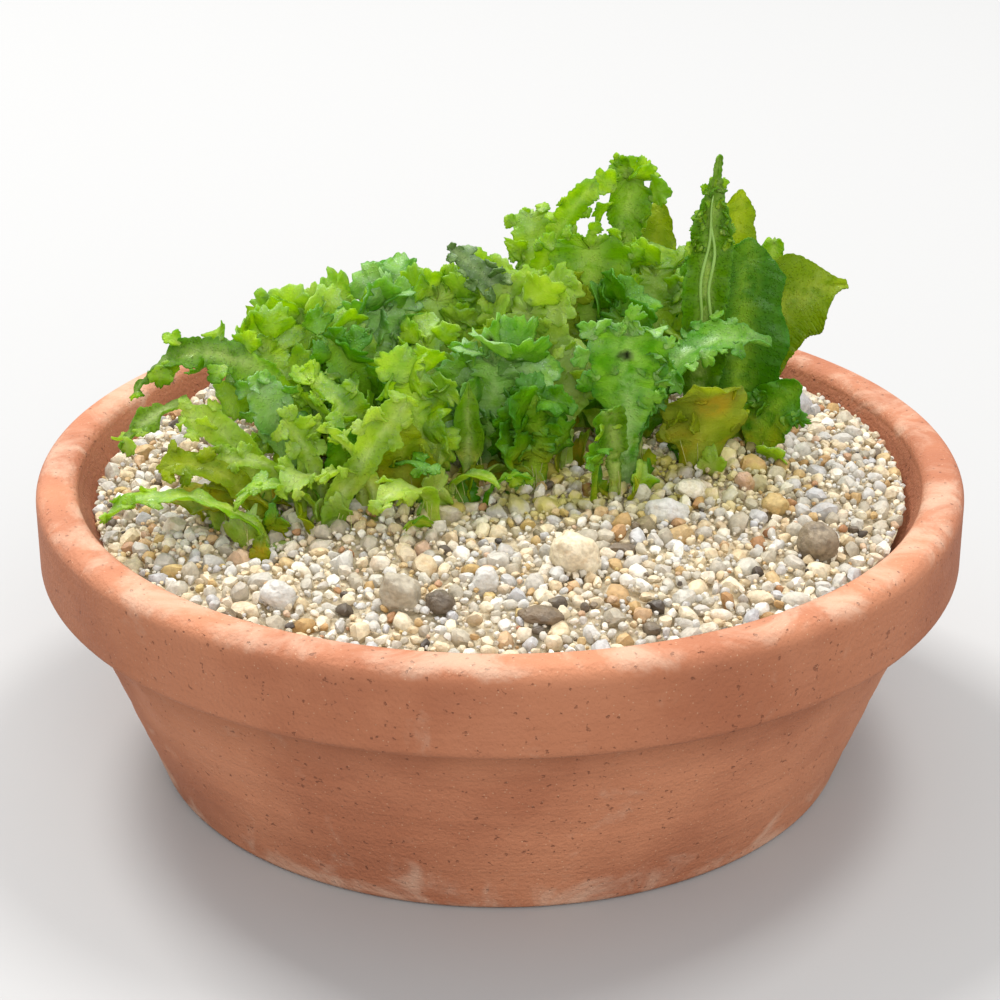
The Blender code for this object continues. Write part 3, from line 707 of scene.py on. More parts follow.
# A sheet's rim: for each point round it, how far it is along the midline and across the sheet as
# shares, its place ahead of the root and beside the midline, the way out of the sheet there, and
# its distance round the rim.
Rim = namedtuple("Rim", "along across places outwards distance")

# A laid sheet: its points by ring and place round the rim, and what each point is.
Sheet = namedtuple("Sheet", "points rib edge thickness along")


def rounded_lobes(phase, roundness):
    """Round crests with narrow notches between them, from 0 to 1."""
    return np.abs(np.sin(np.pi * phase)) ** roundness


def wavering(values, seed):
    """Smooth noise along a line, from -1 to 1."""
    return np.array([noise.noise((value, seed, NOISE_SLICE)) for value in values])


def noise_over(grid, size, *seed):
    """Smooth noise of a size at each point of a sheet, from -1 to 1."""
    return np.array([[noise.noise((*spot, *seed)) for spot in row] for row in grid / size])


def ring_shares(rings):
    """How far each ring is from the midline, 0, to the rim, 1, closer together near the rim."""
    return 1.0 - (1.0 - np.arange(rings + 1) / rings) ** RING_CROWDING


def rim_from(along, across, places):
    """A rim from its places in the sheet's plane, with its outward ways and its running length."""
    steps = np.hypot(*np.diff(places, axis=0).T)
    distance = np.concatenate(([0.0], np.cumsum(steps)))
    ends = places[:1].repeat(TANGENT_REACH, 0), places[-1:].repeat(TANGENT_REACH, 0)
    padded = np.concatenate((ends[0], places, ends[1]))
    tangent = padded[2 * TANGENT_REACH:] - padded[:-2 * TANGENT_REACH]
    tangent /= np.maximum(np.hypot(*tangent.T), 1e-6)[:, None]
    outwards = np.stack((tangent[:, 1], -tangent[:, 0]), axis=1)
    return Rim(along, across, places, outwards, distance)


def sprouting_of(frond):
    """How a frond divides."""
    return OWN_SPROUTINGS.get(frond.name) or SPROUTINGS.get(frond.form, PLAIN)


def held_back(frond):
    """How far a frond's own sheet stops short of its length, for the lobes at its tip."""
    return TIP_PULL * (1.0 - sprouting_of(frond).core) * frond.width / 2


def slimness(frond):
    """A frond's width as a share of its length, as far as it shapes the tip."""
    return min(frond.width / frond.length, MOST_CUT_BACK)


def side_count(frond):
    """How many points the rim has on each side of a frond."""
    return max(LEAST_SIDE_COUNT, round(frond.length / SIDE_STEP))


def main_wave(form, along, across):
    """The wave of a frond's main lobes, staggered from one side to the other."""
    return np.sin(np.pi * (form.side_lobes * along + np.where(across > 0, LOBE_STAGGER, 0.0)))


def frond_rim(frond):
    """The rim of a frond with its main lobes: up one side, round the tip and down the other."""
    form = frond.form
    count = side_count(frond)
    tip_count = max(LEAST_TIP_COUNT, round(frond.width / TIP_STEP))
    up = np.arange(count) / count
    along = np.concatenate((up, np.ones(tip_count + 1), up[::-1]))
    across = np.concatenate((-np.ones(count), np.linspace(-1, 1, tip_count + 1), np.ones(count)))
    tip_crest = rounded_lobes(form.tip_lobes * (across + 1.0) / 2, LOBE_ROUNDNESS)
    cut_back = form.rounding * across ** 2 + form.tip_depth * (1.0 - tip_crest)
    ahead = along * (1.0 - cut_back * slimness(frond)) * frond.length
    ahead *= 1.0 - held_back(frond) / frond.length
    margins = np.where(across > 0, UNEVEN_OFFSET, 0.0)
    spots = [(UNEVEN_PACE * share, margin, frond.root[0]) for share, margin in zip(along, margins)]
    half_width = np.array([outline_width(form, share) for share in along]) * frond.width / 2
    half_width *= 1.0 + MARGIN_UNEVENNESS * np.array([noise.noise(spot) for spot in spots])
    crest = np.abs(main_wave(form, along, across)) ** LOBE_ROUNDNESS if form.side_lobes else 1.0
    notch = form.side_depth * (1.0 - crest) * np.abs(across) ** NOTCH_SHARE * (1.0 - along ** NOTCH_FADE)
    beside = np.sign(across) * np.abs(across) ** SPREAD * half_width * (1.0 - notch)
    return rim_from(along, across, np.stack((ahead, beside), axis=1))


def frames_of(frond, spine):
    """The midline's points, sideways ways and outward ways, at even places along it."""
    rows = [frame_at(frond, spine, step / FRAME_STEPS) for step in range(FRAME_STEPS + 1)]
    return [np.array([row[index] for row in rows]) for index in (0, 2, 3)]


def along_frames(frames, share):
    """The midline's point and ways at any shares of its length."""
    stops = np.linspace(0.0, 1.0, FRAME_STEPS + 1)
    return [
        np.stack([np.interp(share, stops, rows[:, axis]) for axis in range(3)], axis=-1) for rows in frames
    ]


def crests(repeat, phase, distance, seed):
    """How far one of a margin's repeats stands out or in along it."""
    strength = repeat.swing * wavering(distance / repeat.slowness, seed + repeat.shift)
    return (repeat.strength + strength) * (rounded_lobes(phase, repeat.roundness) - repeat.middle)


def fringed(rim, fringe, shrink, seed, grow):
    """A rim with its lobes, crimps and teeth, and how far each of its points curls out of plane."""
    distance = rim.distance / shrink
    drift = DRIFT * wavering(distance / DRIFT_SLOWNESS, seed)
    phase = distance / LOBES.pitch + drift
    crimp_phase = distance / CRIMPS.pitch + drift
    crimp_phase = crimp_phase + CRIMP_DRIFT * wavering(distance / CRIMP_DRIFT_SLOWNESS, seed + 5.0)
    tooth_phase = distance / TEETH.pitch + TOOTH_DRIFT * drift
    reach = fringe.lobes * crests(LOBES, phase, distance, seed)
    reach = reach + fringe.crimps * crests(CRIMPS, crimp_phase, distance, seed)
    reach = (reach + fringe.teeth * crests(TEETH, tooth_phase, distance, seed)) * grow * shrink
    places = rim.places + rim.outwards * reach[:, None]
    swing = CURL_SWING * wavering(distance / CURL_SLOWNESS, seed + 9.0)
    curl = np.sin(np.pi * phase) * (CURL + swing) + CRIMP_CURL * np.sin(np.pi * crimp_phase)
    return places, fringe.curl * shrink * grow * curl


def fan_out(feet, places, rings):
    """Each ring's share of the way from the midline to the rim, and its places ahead and beside."""
    share = ring_shares(rings)[:, None]
    return share, feet[None] + (places - feet)[None] * share[..., None]


def sheet_of(points, rib, share, along):
    """A sheet from its points, thickest along its midline."""
    edge = np.broadcast_to(share, along.shape)
    return Sheet(points, rib, edge, 1.0 - share ** 2 + 0.0 * along, along)


def frond_sheet(frond, spine):
    """A frond's bent, ruffled and frilled sheet."""
    form = frond.form
    seed = frond.root[0] + SEED_SHARE * frond.root[1]
    rim = frond_rim(frond)
    grow = np.clip(rim.along / BARE_FOOT - FRINGE_START, 0.0, 1.0)
    middle_crest = rounded_lobes(form.tip_lobes / 2, LOBE_ROUNDNESS)
    tip_end = frond.length * (1.0 - form.tip_depth * (1.0 - middle_crest) * slimness(frond))
    rib_end = tip_end - held_back(frond) - RIB_END * frond.width / 2 * max(form.tip, LEAST_TIP_WIDTH)
    feet = np.stack((rim.along * rib_end, np.zeros(len(rim.along))), axis=1)
    given_up = 1.0 - sprouting_of(frond).core
    kept = (1.0 - given_up * np.clip(rim.along / BARE_FOOT - CORE_START, 0.0, 1.0))[:, None]
    rim = rim._replace(places=feet + (rim.places - feet) * kept)
    places, curl = fringed(rim, FRINGES[form], 1.0, seed, grow)
    share, spread = fan_out(feet, places, RINGS)
    ahead, beside = spread[..., 0], spread[..., 1]
    edge = np.abs(rim.across) * share
    along = ahead / frond.length
    wave = main_wave(form, rim.along, rim.across)
    lift = frond.width * edge ** (MARGIN_SHARE / SPREAD) * (form.ruffle * wave * along + form.cup)
    rough = FRINGES[form].curl / FRINGES[FRILL].curl
    waver = WAVER_HEIGHT * between((LEAST_WAVER, 1.0), rough) * noise_over(spread, WAVER_SIZE, seed)
    lift = lift + waver * share * min(1.0, frond.width / FULL_WAVER_WIDTH) * grow
    lift = lift + curl * share ** CURL_CROWDING
    point, side, out = along_frames(frames_of(frond, spine), np.clip(along, 0.0, 1.0))
    points = point + side * beside[..., None] + out * lift[..., None]
    relief = CRUMPLE_HEIGHT * between((LEAST_CRUMPLE, 1.0), rough) * noise_over(points, CRUMPLE_SIZE)
    relief = relief + BLISTER_HEIGHT * noise_over(points, BLISTER_SIZE)
    points += out * relief[..., None]
    if len(frond.root) == 2:
        points[..., 2] -= ROOT_SINK * np.clip(1.0 - along / ROOT_SINK_SHARE, 0.0, 1.0)
    rib = 1.0 - np.clip(np.abs(beside) / (RIB_WIDTH * frond.width), 0.0, 1.0)
    return sheet_of(points, rib * (1.0 - RIB_FADE * along), share, along)


# A sprout: a small lobe that grows from a margin or a face of a frond.
Sprout = namedtuple("Sprout", "root ahead side out length width curl seed")
SPROUT_SIDES = 11
SPROUT_ENDS = 22
SPROUT_RINGS = 3
SPROUT_SHRINK = 0.86
SPROUT_FRINGE = Fringe(0.52, 0.46, 0.22, 0.50)
SPROUT_SHOULDER = 0.56
SPROUT_NECK = 0.30
SPROUT_NECK_FLARE = 1.3
SPROUT_FRINGE_START = 0.3
SPROUT_FRINGE_PACE = 2.2
SPROUT_RIDGE = 0.95
SPROUT_BEND = 0.22
SPROUT_BEND_PACE = 5.0
SPROUT_WAVER = 0.34
SPROUT_WAVER_SIZE = 0.9
SPROUT_RIB = 0.35
SPROUT_RIB_STRENGTH = 0.5
SPROUT_SINK = 0.3
SPROUT_SEEDS = (0.0, 6.0)
FULL_SPROUT = 2.4
SPROUT_SHADE_CHANCE = 0.6
# How a sprout grows: the most that it turns about its own length in degrees, and its widths and
# its bends as shares of its length.
Growth = namedtuple("Growth", "turn widths bends")
MARGIN_GROWTH = Growth(45, (0.9, 1.35), (-0.45, 0.45))
FOOT_GROWTH = Growth(50, (0.6, 1.1), (-0.5, 0.5))
# A margin's row: how far its spacing and lengths vary as shares, how long its lobes are for each
# millimetre that the frond's own sheet gives up, and their shortest and longest. The lobes on its
# faces are shorter towards its tip.
ROW_SPACING = (0.7, 1.3)
ROW_VARIATION = (0.8, 1.3)
ROW_LEANS = (0.15, 1.0)
ROW_REACH = 1.5
ROW_EXTRA = 0.5
ROW_LENGTHS = (0.8, 3.4)
FORWARD_LEAN = 0.45
FACE_LEANS = (30, 70)
FACE_END = 0.92
FACE_SHRINK = (1.2, 0.7)

# How a frond divides: the share of its width that its own sheet keeps, the distance between the
# lobes on its margins, where along it they start and end, how far they lean out of its plane in
# degrees, how many more grow out of its faces, and the shortest and longest of those.
Sprouting = namedtuple("Sprouting", "core pitch start end lean faces lengths")
# A form that isn't in the table is plain.
PLAIN = Sprouting(1.0, 0.0, 0.0, 0.0, 0, 0, (1.0, 1.0))
SPROUTINGS = {
    STRAP: Sprouting(0.64, 2.0, 0.26, 1.0, 45, 3, (1.6, 2.8)),
    FRILL: Sprouting(0.56, 1.8, 0.22, 1.0, 50, 6, (1.8, 3.4)),
    FAN: Sprouting(0.82, 2.1, 0.48, 1.0, 40, 3, (1.2, 2.1)),
    HEAD: Sprouting(0.72, 1.9, 0.76, 1.0, 35, 2, (1.0, 1.6)),
    BROAD: Sprouting(0.90, 2.0, 0.62, 1.0, 30, 3, (1.3, 2.2)),
    CLAW: Sprouting(0.66, 2.4, 0.55, 1.0, 40, 1, (1.0, 1.8)),
    RIBBON: Sprouting(0.92, 1.8, 0.70, 1.0, 40, 1, (1.0, 1.8)),
    KNOBBY: Sprouting(0.90, 2.4, 0.30, 0.95, 30, 1, (0.6, 1.0)),
}
# Fronds that divide otherwise than their form does.
OWN_SPROUTINGS = {
    "teal_shelf": Sprouting(0.86, 1.2, 0.30, 0.86, 25, 4, (0.5, 0.9)),
    "dark_point": Sprouting(0.62, 1.9, 0.26, 1.0, 50, 5, (1.4, 2.6)),
    "teal_round": Sprouting(0.80, 1.8, 0.62, 1.0, 45, 3, (1.0, 1.7)),
    "dotted_sheet": Sprouting(0.86, 1.7, 0.40, 1.0, 50, 7, (1.0, 2.2)),
    "front_stem": Sprouting(0.72, 0.0, 0.60, 1.0, 0, 2, (1.0, 1.6)),
    "grey_fold": Sprouting(0.88, 1.4, 0.45, 1.0, 70, 6, (0.9, 1.7)),
    "toothed_tip": Sprouting(0.68, 0.0, 0.0, 0.0, 0, 0, (1.0, 1.0)),
}
# Fronds that bear crowds of small crisp lobes on their faces: how many, from where along them to
# where, and the shortest and longest.
CRISPED = {
    "tall_pointed": (34, 0.68, 0.92, (0.5, 1.1)),
    "grainy_mid": (26, 0.40, 0.95, (0.7, 1.7)),
    "teal_shelf": (9, 0.34, 0.52, (0.6, 1.2)),
    "right_low_lobe": (9, 0.40, 0.95, (0.8, 1.4)),
    "teal_toothed": (10, 0.40, 0.98, (1.0, 2.0)),
    "spoon_lobe": (5, 0.40, 0.80, (0.8, 1.3)),
    "amber_sheet": (6, 0.20, 0.90, (0.9, 1.7)),
}


def on_sheet(sheet, column, share):
    """A point of a sheet: a column of its rim, and a share of the way out from the midline."""
    shares = ring_shares(len(sheet.points) - 1)
    return Vector(np.interp(share, shares, sheet.points[:, column, axis]) for axis in range(3))


def sprout_sheet(sprout):
    """A sprout: a fan with a narrow neck, a round crenate end and a curl."""
    up = np.arange(SPROUT_SIDES) / SPROUT_SIDES
    turn = np.linspace(-pi / 2, pi / 2, SPROUT_ENDS + 1)
    half_width = sprout.width / 2
    shoulder = SPROUT_SHOULDER * sprout.length
    flare = np.sin(up * pi / 2) ** SPROUT_NECK_FLARE
    neck = half_width * (SPROUT_NECK + (1.0 - SPROUT_NECK) * flare)
    end = shoulder + (sprout.length - shoulder) * np.cos(turn)
    ahead = np.concatenate((up * shoulder, end, up[::-1] * shoulder))
    beside = np.concatenate((-neck, half_width * np.sin(turn), neck[::-1]))
    along = ahead / sprout.length
    rim = rim_from(along, np.sign(beside), np.stack((ahead, beside), axis=1))
    grow = np.clip(along * SPROUT_FRINGE_PACE - SPROUT_FRINGE_START, 0.0, 1.0)
    shrink = SPROUT_SHRINK * min(1.0, sprout.length / FULL_SPROUT)
    places, curl = fringed(rim, SPROUT_FRINGE, shrink, sprout.seed, grow)
    feet = np.stack((np.minimum(ahead, shoulder) * SPROUT_RIDGE, np.zeros(len(ahead))), axis=1)
    share, spread = fan_out(feet, places, SPROUT_RINGS)
    ahead, beside = spread[..., 0], spread[..., 1]
    reach = ahead / sprout.length
    lift = sprout.curl * sprout.length * reach ** 2 + curl * share ** 2
    bend = SPROUT_BEND * sprout.width * (beside / half_width) ** 2
    lift = lift + bend * sin(SPROUT_BEND_PACE * sprout.seed)
    lift = lift + SPROUT_WAVER * noise_over(spread, SPROUT_WAVER_SIZE, sprout.seed) * reach
    ways = [np.array(way) for way in (sprout.root, sprout.ahead, sprout.side, sprout.out)]
    points = ways[0] + ahead[..., None] * ways[1] + beside[..., None] * ways[2] + lift[..., None] * ways[3]
    rib = SPROUT_RIB_STRENGTH * (1.0 - np.clip(np.abs(beside) / SPROUT_RIB, 0.0, 1.0)) * (1.0 - reach)
    return sheet_of(points, rib, share, reach)


def new_sprout(rng, root, grown, over, growth, length):
    """A sprout that grows one way, at its own turn. Its length is given, or drawn from a pair."""
    turn = rng.uniform(-growth.turn, growth.turn)
    over = Matrix.Rotation(radians(turn), 3, grown) @ over
    if isinstance(length, tuple):
        length = rng.uniform(*length)
    width = length * rng.uniform(*growth.widths)
    bend, seed = rng.uniform(*growth.bends), rng.uniform(*SPROUT_SEEDS)
    return Sprout(root, grown, over.cross(grown), over, length, width, bend, seed)


def lobes_of(frond, spine, sheet):
    """The lobes of one frond, each after its place along it: a row on its margins, more on its faces."""
    rng = Random(frond.name)
    sprouting = sprouting_of(frond)
    rim = frond_rim(frond)

    def lobe_at(column, ring, length, lean):
        """A lobe that grows out of a point of the sheet, and leans out of its plane."""
        along = float(rim.along[column])
        ahead, side, out = frame_at(frond, spine, along)[1:]
        forward, sideways = rim.outwards[column]
        way = (ahead * (forward + FORWARD_LEAN) + side * sideways).normalized()
        tilt = radians(lean)
        grown = (way * cos(tilt) + out * sin(tilt)).normalized()
        over = (out * cos(tilt) - way * sin(tilt)).normalized()
        root = Vector(sheet.points[ring, column]) - grown * SPROUT_SINK
        return along, new_sprout(rng, root, grown, over, MARGIN_GROWTH, length)

    lobes = []
    hand = 1
    run = rng.uniform(0.0, sprouting.pitch)
    while sprouting.pitch and run < rim.distance[-1]:
        column = int(np.searchsorted(rim.distance, run))
        run += sprouting.pitch * rng.uniform(*ROW_SPACING)
        if sprouting.start < rim.along[column] <= sprouting.end:
            hand = -hand
            beside = abs(rim.places[column][1]) if rim.along[column] < 1.0 else 0.5 * frond.width
            length = ROW_REACH * (1.0 - sprouting.core) * beside + ROW_EXTRA
            length = max(length, ROW_LENGTHS[0])
            length = min(length, ROW_LENGTHS[1]) * rng.uniform(*ROW_VARIATION)
            lean = hand * rng.uniform(*ROW_LEANS) * sprouting.lean
            lobes.append(lobe_at(column, RINGS - 1, length, lean))
    crowds = [(sprouting.faces, sprouting.start, FACE_END, sprouting.lengths)]
    if frond.name in CRISPED:
        crowds.append(CRISPED[frond.name])
    for count, start, end, lengths in crowds:
        columns = [index for index, along in enumerate(rim.along) if start < along < end]
        for _ in range(count):
            column = rng.choice(columns)
            length = rng.uniform(*lengths) * between(FACE_SHRINK, float(rim.along[column]))
            lean = rng.choice((-1, 1)) * rng.uniform(*FACE_LEANS)
            lobes.append(lobe_at(column, rng.randint(1, RINGS - 2), length, lean))
    return lobes


# Dark and amber spots: the frond, the place along and across it, and the spot's radius.
SPOTS = {"dotted_sheet": (0.72, 0.05, 0.55), "centre_teal": (0.82, 0.10, 0.42)}
AMBERS = {"amber_sheet": (0.60, -0.15, 2.0)}
# How dark, 0, or pale, 1, some fronds are at their feet and at their tips. The others' own shades
# are drawn by lot.
SHADES = {
    "round_lobe": (0.06, 0.10), "pointed_sheet": (0.04, 0.14), "tall_pointed": (-0.3, -0.3),
    "oval_lobe": (0.12, 0.22), "toothed_tip": (0.05, 0.30), "tall_fan": (0.05, 0.14),
    "tall_fan_back": (0.05, 0.20), "wide_sheet": (0.10, 0.20), "curled_lobe": (0.5, 0.8),
    "mid_frill_b": (0.5, 0.85), "left_crest": (0.6, 0.95), "left_crest_b": (0.5, 0.85),
    "teal_toothed": (0.6, 1.0), "centre_teal": (0.6, 1.0), "teal_round": (1.0, 0.7),
    "teal_shelf": (0.0, 0.30), "long_arch": (1.0, -0.7), "arch_hook": (0.1, 0.0),
    "dotted_sheet": (0.1, 0.65), "front_stem": (0.0, 0.05), "lance_leaf": (0.10, 0.12),
    "amber_sheet": (1.0, 0.9), "dark_point": (0.8, 1.0), "left_mid_a": (0.5, 0.9),
    "left_mid_b": (0.5, 0.9), "right_low_lobe": (0.1, 0.2), "left_lobes": (0.4, 0.8),
    "grainy_mid": (0.1, 0.6), "mid_frill_a": (0.4, 0.9), "mid_frill_c": (0.2, 0.7), "grey_fold": (0.5, 0.7),
    "back_a": (0.3, 1.0), "back_d": (0.2, 0.4),
}
# Fronds whose tissue looks otherwise than their tone's.
LOOKS = {"dotted_sheet": TEAL, "mid_frill_a": BRIGHT, "mid_frill_c": PALE, "back_a": TEAL}

NOTES = ("rib", "edge", "foot", "shade", "spot", "amber")
SPOT_CORE = 0.35
SHEEN_GAIN = 1.25
SHEEN_START = 0.15
# From where above its root to where a frond's or a low lobe's foot tone fades, and the shades that
# a frond may draw for its foot and its tip.
FROND_FOOT = (1.0, 4.5)
LOBE_FOOT = (0.8, 3.2)
FOOT_SHADES = (0.2, 0.6)
TIP_SHADES = (0.3, 0.9)


def lay_sheet(piece, sheet, foot_end, shades, spots=()):
    """Add a flat grid to the piece in edit mode, lay it out as a sheet and note what each point is."""
    rings, columns = (count - 1 for count in sheet.points.shape[:2])
    bpy.ops.mesh.select_all(action="DESELECT")
    bpy.ops.mesh.primitive_grid_add(x_subdivisions=columns, y_subdivisions=rings, size=2.0)
    edited = bmesh.from_edit_mesh(piece.data)
    weights = edited.verts.layers.deform.verify()
    layer = {name: edited.verts.layers.float[name] for name in NOTES}
    for vert in edited.verts:
        if not vert.select:
            continue
        at = round((vert.co.y + 1.0) / 2 * rings), round((vert.co.x + 1.0) / 2 * columns)
        spot = Vector(sheet.points[at])
        vert[layer["rib"]] = sheet.rib[at]
        vert[layer["edge"]] = sheet.edge[at]
        vert[layer["shade"]] = between(shades, float(sheet.along[at]))
        vert[layer["foot"]] = 1.0 - soft_step(spot.z, *foot_end)
        for name, centre, radius in spots:
            vert[layer[name]] = 1.0 - soft_step((spot - centre).length, SPOT_CORE * radius, radius)
        vert[weights][0] = sheet.thickness[at]
        vert.co = spot * MM
    bpy.ops.mesh.remove_doubles(threshold=MERGE_DISTANCE)
    bmesh.update_edit_mesh(piece.data)


def start_tissue(name):
    """An empty piece in edit mode, ready for sheets to be laid in it."""
    piece = open_piece(name, NOTES)
    piece.vertex_groups.new(name=GROUP_NAME)
    return piece


def finish_tissue(piece):
    """Thicken the laid sheets into closed lobes, thinnest at their margins, and note their painted sheen.
    A point's painted sheen is how far it faces up: there its colour is painted paler, as if lit from above.
    """
    bpy.ops.object.mode_set(mode="OBJECT")
    wall = piece.modifiers.new("wall", "SOLIDIFY")
    wall.thickness = SHEET_THICKNESS * MM
    wall.offset = 0.0
    wall.vertex_group = GROUP_NAME
    wall.thickness_vertex_group = MARGIN_THICKNESS_SHARE
    pick(piece)
    bpy.ops.object.modifier_apply(modifier=wall.name)
    mesh = piece.data
    mesh.shade_smooth()
    normals = np.zeros(len(mesh.vertices) * 3, np.float32)
    mesh.vertex_normals.foreach_get("vector", normals)
    # Painted sheen: the share of pale colour that is painted where a face points up.
    sheen_share = np.clip(normals.reshape(-1, 3)[:, 2] * SHEEN_GAIN + SHEEN_START, 0.0, 1.0)
    carry(mesh, "crown", sheen_share.astype(np.float32))
    return piece


def frond_piece(frond, spine, sheet):
    """One frond's sheet, with the lobes that it bears, thickened into a closed piece."""
    piece = start_tissue(frond.name + "_thallus")
    base = sand_height(*frond.root[:2])
    foot_end = [base + height for height in FROND_FOOT]
    spots = []
    for note, places in (("spot", SPOTS), ("amber", AMBERS)):
        if frond.name in places:
            along, across, radius = places[frond.name]
            point, side, _ = along_frames(frames_of(frond, spine), along)
            spots.append((note, Vector(point + side * (across * frond.width / 2)), radius))
    rng = Random(frond.name + "_shades")
    shades = SHADES.get(frond.name, (rng.uniform(*FOOT_SHADES), rng.uniform(*TIP_SHADES)))
    lay_sheet(piece, sheet, foot_end, shades, spots)
    for along, lobe in lobes_of(frond, spine, sheet):
        ends = [between((between(shades, along), rng.random()), SPROUT_SHADE_CHANCE) for _ in range(2)]
        lay_sheet(piece, sprout_sheet(lobe), foot_end, ends, spots)
    return finish_tissue(piece)


# Low lobes crowd round the frond's feet, in these tones and shares. Most of them head to the front.
FOOT_TONES = {PALE: 0.30, OLIVE: 0.26, YELLOW: 0.12, DEEP: 0.16, BRIGHT: 0.16}
FEET_EACH = 3
FOOT_SPREAD = 1.7
FOOT_LENGTHS = (1.3, 2.9)
FOOT_SINK = 0.35
FOOT_PITCHES = (20, 78)
FRONT_SHARE = 0.6


def foot_lobes():
    """The low lobes round each frond's foot, sorted by their tones."""
    rng = Random("feet")
    sorted_lobes = {tone: [] for tone in FOOT_TONES}
    for frond in FRONDS:
        for _ in range(FEET_EACH):
            x, y = (place + rng.uniform(-FOOT_SPREAD, FOOT_SPREAD) for place in frond.root[:2])
            side = (180, 360) if rng.random() < FRONT_SHARE else (0, 180)
            heading = radians(rng.uniform(*side))
            pitch = radians(rng.uniform(*FOOT_PITCHES))
            grown = Vector((cos(pitch) * cos(heading), cos(pitch) * sin(heading), sin(pitch)))
            over = grown.cross(Vector((sin(heading), -cos(heading), 0.0))).normalized()
            root = Vector((x, y, sand_height(x, y) - FOOT_SINK))
            lobe = new_sprout(rng, root, grown, over, FOOT_GROWTH, FOOT_LENGTHS)
            tone = rng.choices(list(FOOT_TONES), list(FOOT_TONES.values()))[0]
            sorted_lobes[tone].append(lobe)
    return sorted_lobes


def foot_piece(tone, lobes):
    """All the low lobes of one tone as one piece."""
    piece = start_tissue("foot_lobes_" + tone.split("_")[1])
    rng = Random(tone)
    for lobe in lobes:
        foot_end = [lobe.root.z + height for height in LOBE_FOOT]
        lay_sheet(piece, sprout_sheet(lobe), foot_end, (rng.random(), rng.random()))
    return finish_tissue(piece)


def arc(centre, radius, start, end, steps=CORNER_STEPS):
    """Points of an arc in the turned profile, from one angle in degrees to another."""
    angles = (radians(between((start, end), step / steps)) for step in range(steps + 1))
    return [(centre[0] + radius * cos(angle), centre[1] + radius * sin(angle)) for angle in angles]


def inner_radius(height):
    """The pot's inner wall at a height: it flares from the floor to the rim."""
    share = (height - FLOOR_THICKNESS) / (POT_HEIGHT - FLOOR_THICKNESS)
    return INNER_FLOOR_RADIUS + share * (INNER_RIM_RADIUS - INNER_FLOOR_RADIUS)


def pot_profile():
    """Half of the pot's section, from under its middle, up its wall and over its lip to its floor."""
    soft = EDGE_ROUNDING
    lip, inner_lip = LIP_ROUNDING, INNER_LIP_ROUNDING
    band_bottom = POT_HEIGHT - RIM_BAND_HEIGHT
    wall_top = RIM_RADIUS - RIM_BAND_STEP - soft
    points = [(0.0, RECESS_DEPTH), (RECESS_RADIUS - soft, RECESS_DEPTH), (RECESS_RADIUS, 0.0)]
    points += arc((FOOT_RADIUS - soft, soft), soft, -90, -8)
    for step in range(1, WALL_STEPS):
        share = step / WALL_STEPS
        mark = TURNING_MARK * sin(share * TURNING_PACES[0]) * sin(share * TURNING_PACES[1])
        radius = between((FOOT_RADIUS, wall_top), share) + mark
        points.append((radius, between((soft, band_bottom), share)))
    points.append((wall_top, band_bottom))
    points += arc((RIM_RADIUS - soft, band_bottom + soft), soft, -90, 0)
    points += arc((RIM_RADIUS - lip, POT_HEIGHT - lip), lip, 0, 90, LIP_STEPS)
    middle = (inner_radius(POT_HEIGHT) + inner_lip, POT_HEIGHT - inner_lip)
    points += arc(middle, inner_lip, 90, 180, LIP_STEPS)
    points += [(inner_radius(height), height) for height in INNER_WALL_HEIGHTS]
    points += [(INNER_FLOOR_RADIUS, FLOOR_THICKNESS), (0.0, FLOOR_THICKNESS)]
    return points


def pot_piece():
    """The clay pot, turned round its axis from its section."""
    piece = open_piece("clay_pot")
    edited = bmesh.from_edit_mesh(piece.data)
    verts = [edited.verts.new((radius * MM, 0.0, height * MM)) for radius, height in pot_profile()]
    for pair in zip(verts, verts[1:]):
        edited.edges.new(pair)
    bmesh.update_edit_mesh(piece.data)
    bpy.ops.mesh.select_all(action="SELECT")
    bpy.ops.mesh.spin(steps=POT_SIDES, angle=tau, center=(0, 0, 0), axis=(0, 0, 1))
    bpy.ops.mesh.select_all(action="SELECT")
    bpy.ops.mesh.remove_doubles(threshold=WELD_DISTANCE)
    bpy.ops.mesh.normals_make_consistent(inside=False)
    bpy.ops.object.mode_set(mode="OBJECT")
    pick(piece)
    bpy.ops.object.shade_smooth_by_angle(angle=radians(POT_SHARP_ANGLE))
    return piece


def sand_bed(solid):
    """The packed sand under the loose grains: the sand's solid, made finer and a little lower."""
    piece = add_object("sand_bed", solid.data.copy())
    pick(piece)
    bpy.ops.object.mode_set(mode="EDIT")
    bpy.ops.mesh.select_all(action="SELECT")
    bpy.ops.mesh.remove_doubles(threshold=WELD_DISTANCE)
    bpy.ops.mesh.subdivide(number_cuts=BED_CUTS)
    bpy.ops.object.mode_set(mode="OBJECT")
    for vert in piece.data.vertices:
        x, y, z = vert.co / MM
        if z > BED_TOP and hypot(x, y) < BED_TOP_RADIUS:
            vert.co.z -= (BED_SINK + BED_SINK_VARIATION * noise.noise((x, y, 0.0))) * MM
    piece.data.shade_smooth()
    return piece


Kind = namedtuple("Kind", "name share flatness")
KINDS = (
    Kind("quartz_grains", 0.44, 0.86),
    Kind("shell_grains", 0.43, 0.78),
    Kind("honey_grains", 0.11, 0.84),
    Kind("dark_grains", 0.02, 0.80),
)
COARSE_SHAPES = 7
FINE_SHAPES = 4
FACETS = 7
FACET_REACH = (0.62, 0.86)
UNROUNDNESS = 0.40
GRAIN_TILTS = (-0.6, 0.6)
GRAIN_WIDTHS = (0.72, 1.0)
GRAIN_HEIGHTS = (0.8, 1.15)
GRAIN_SHARP_ANGLE = 34
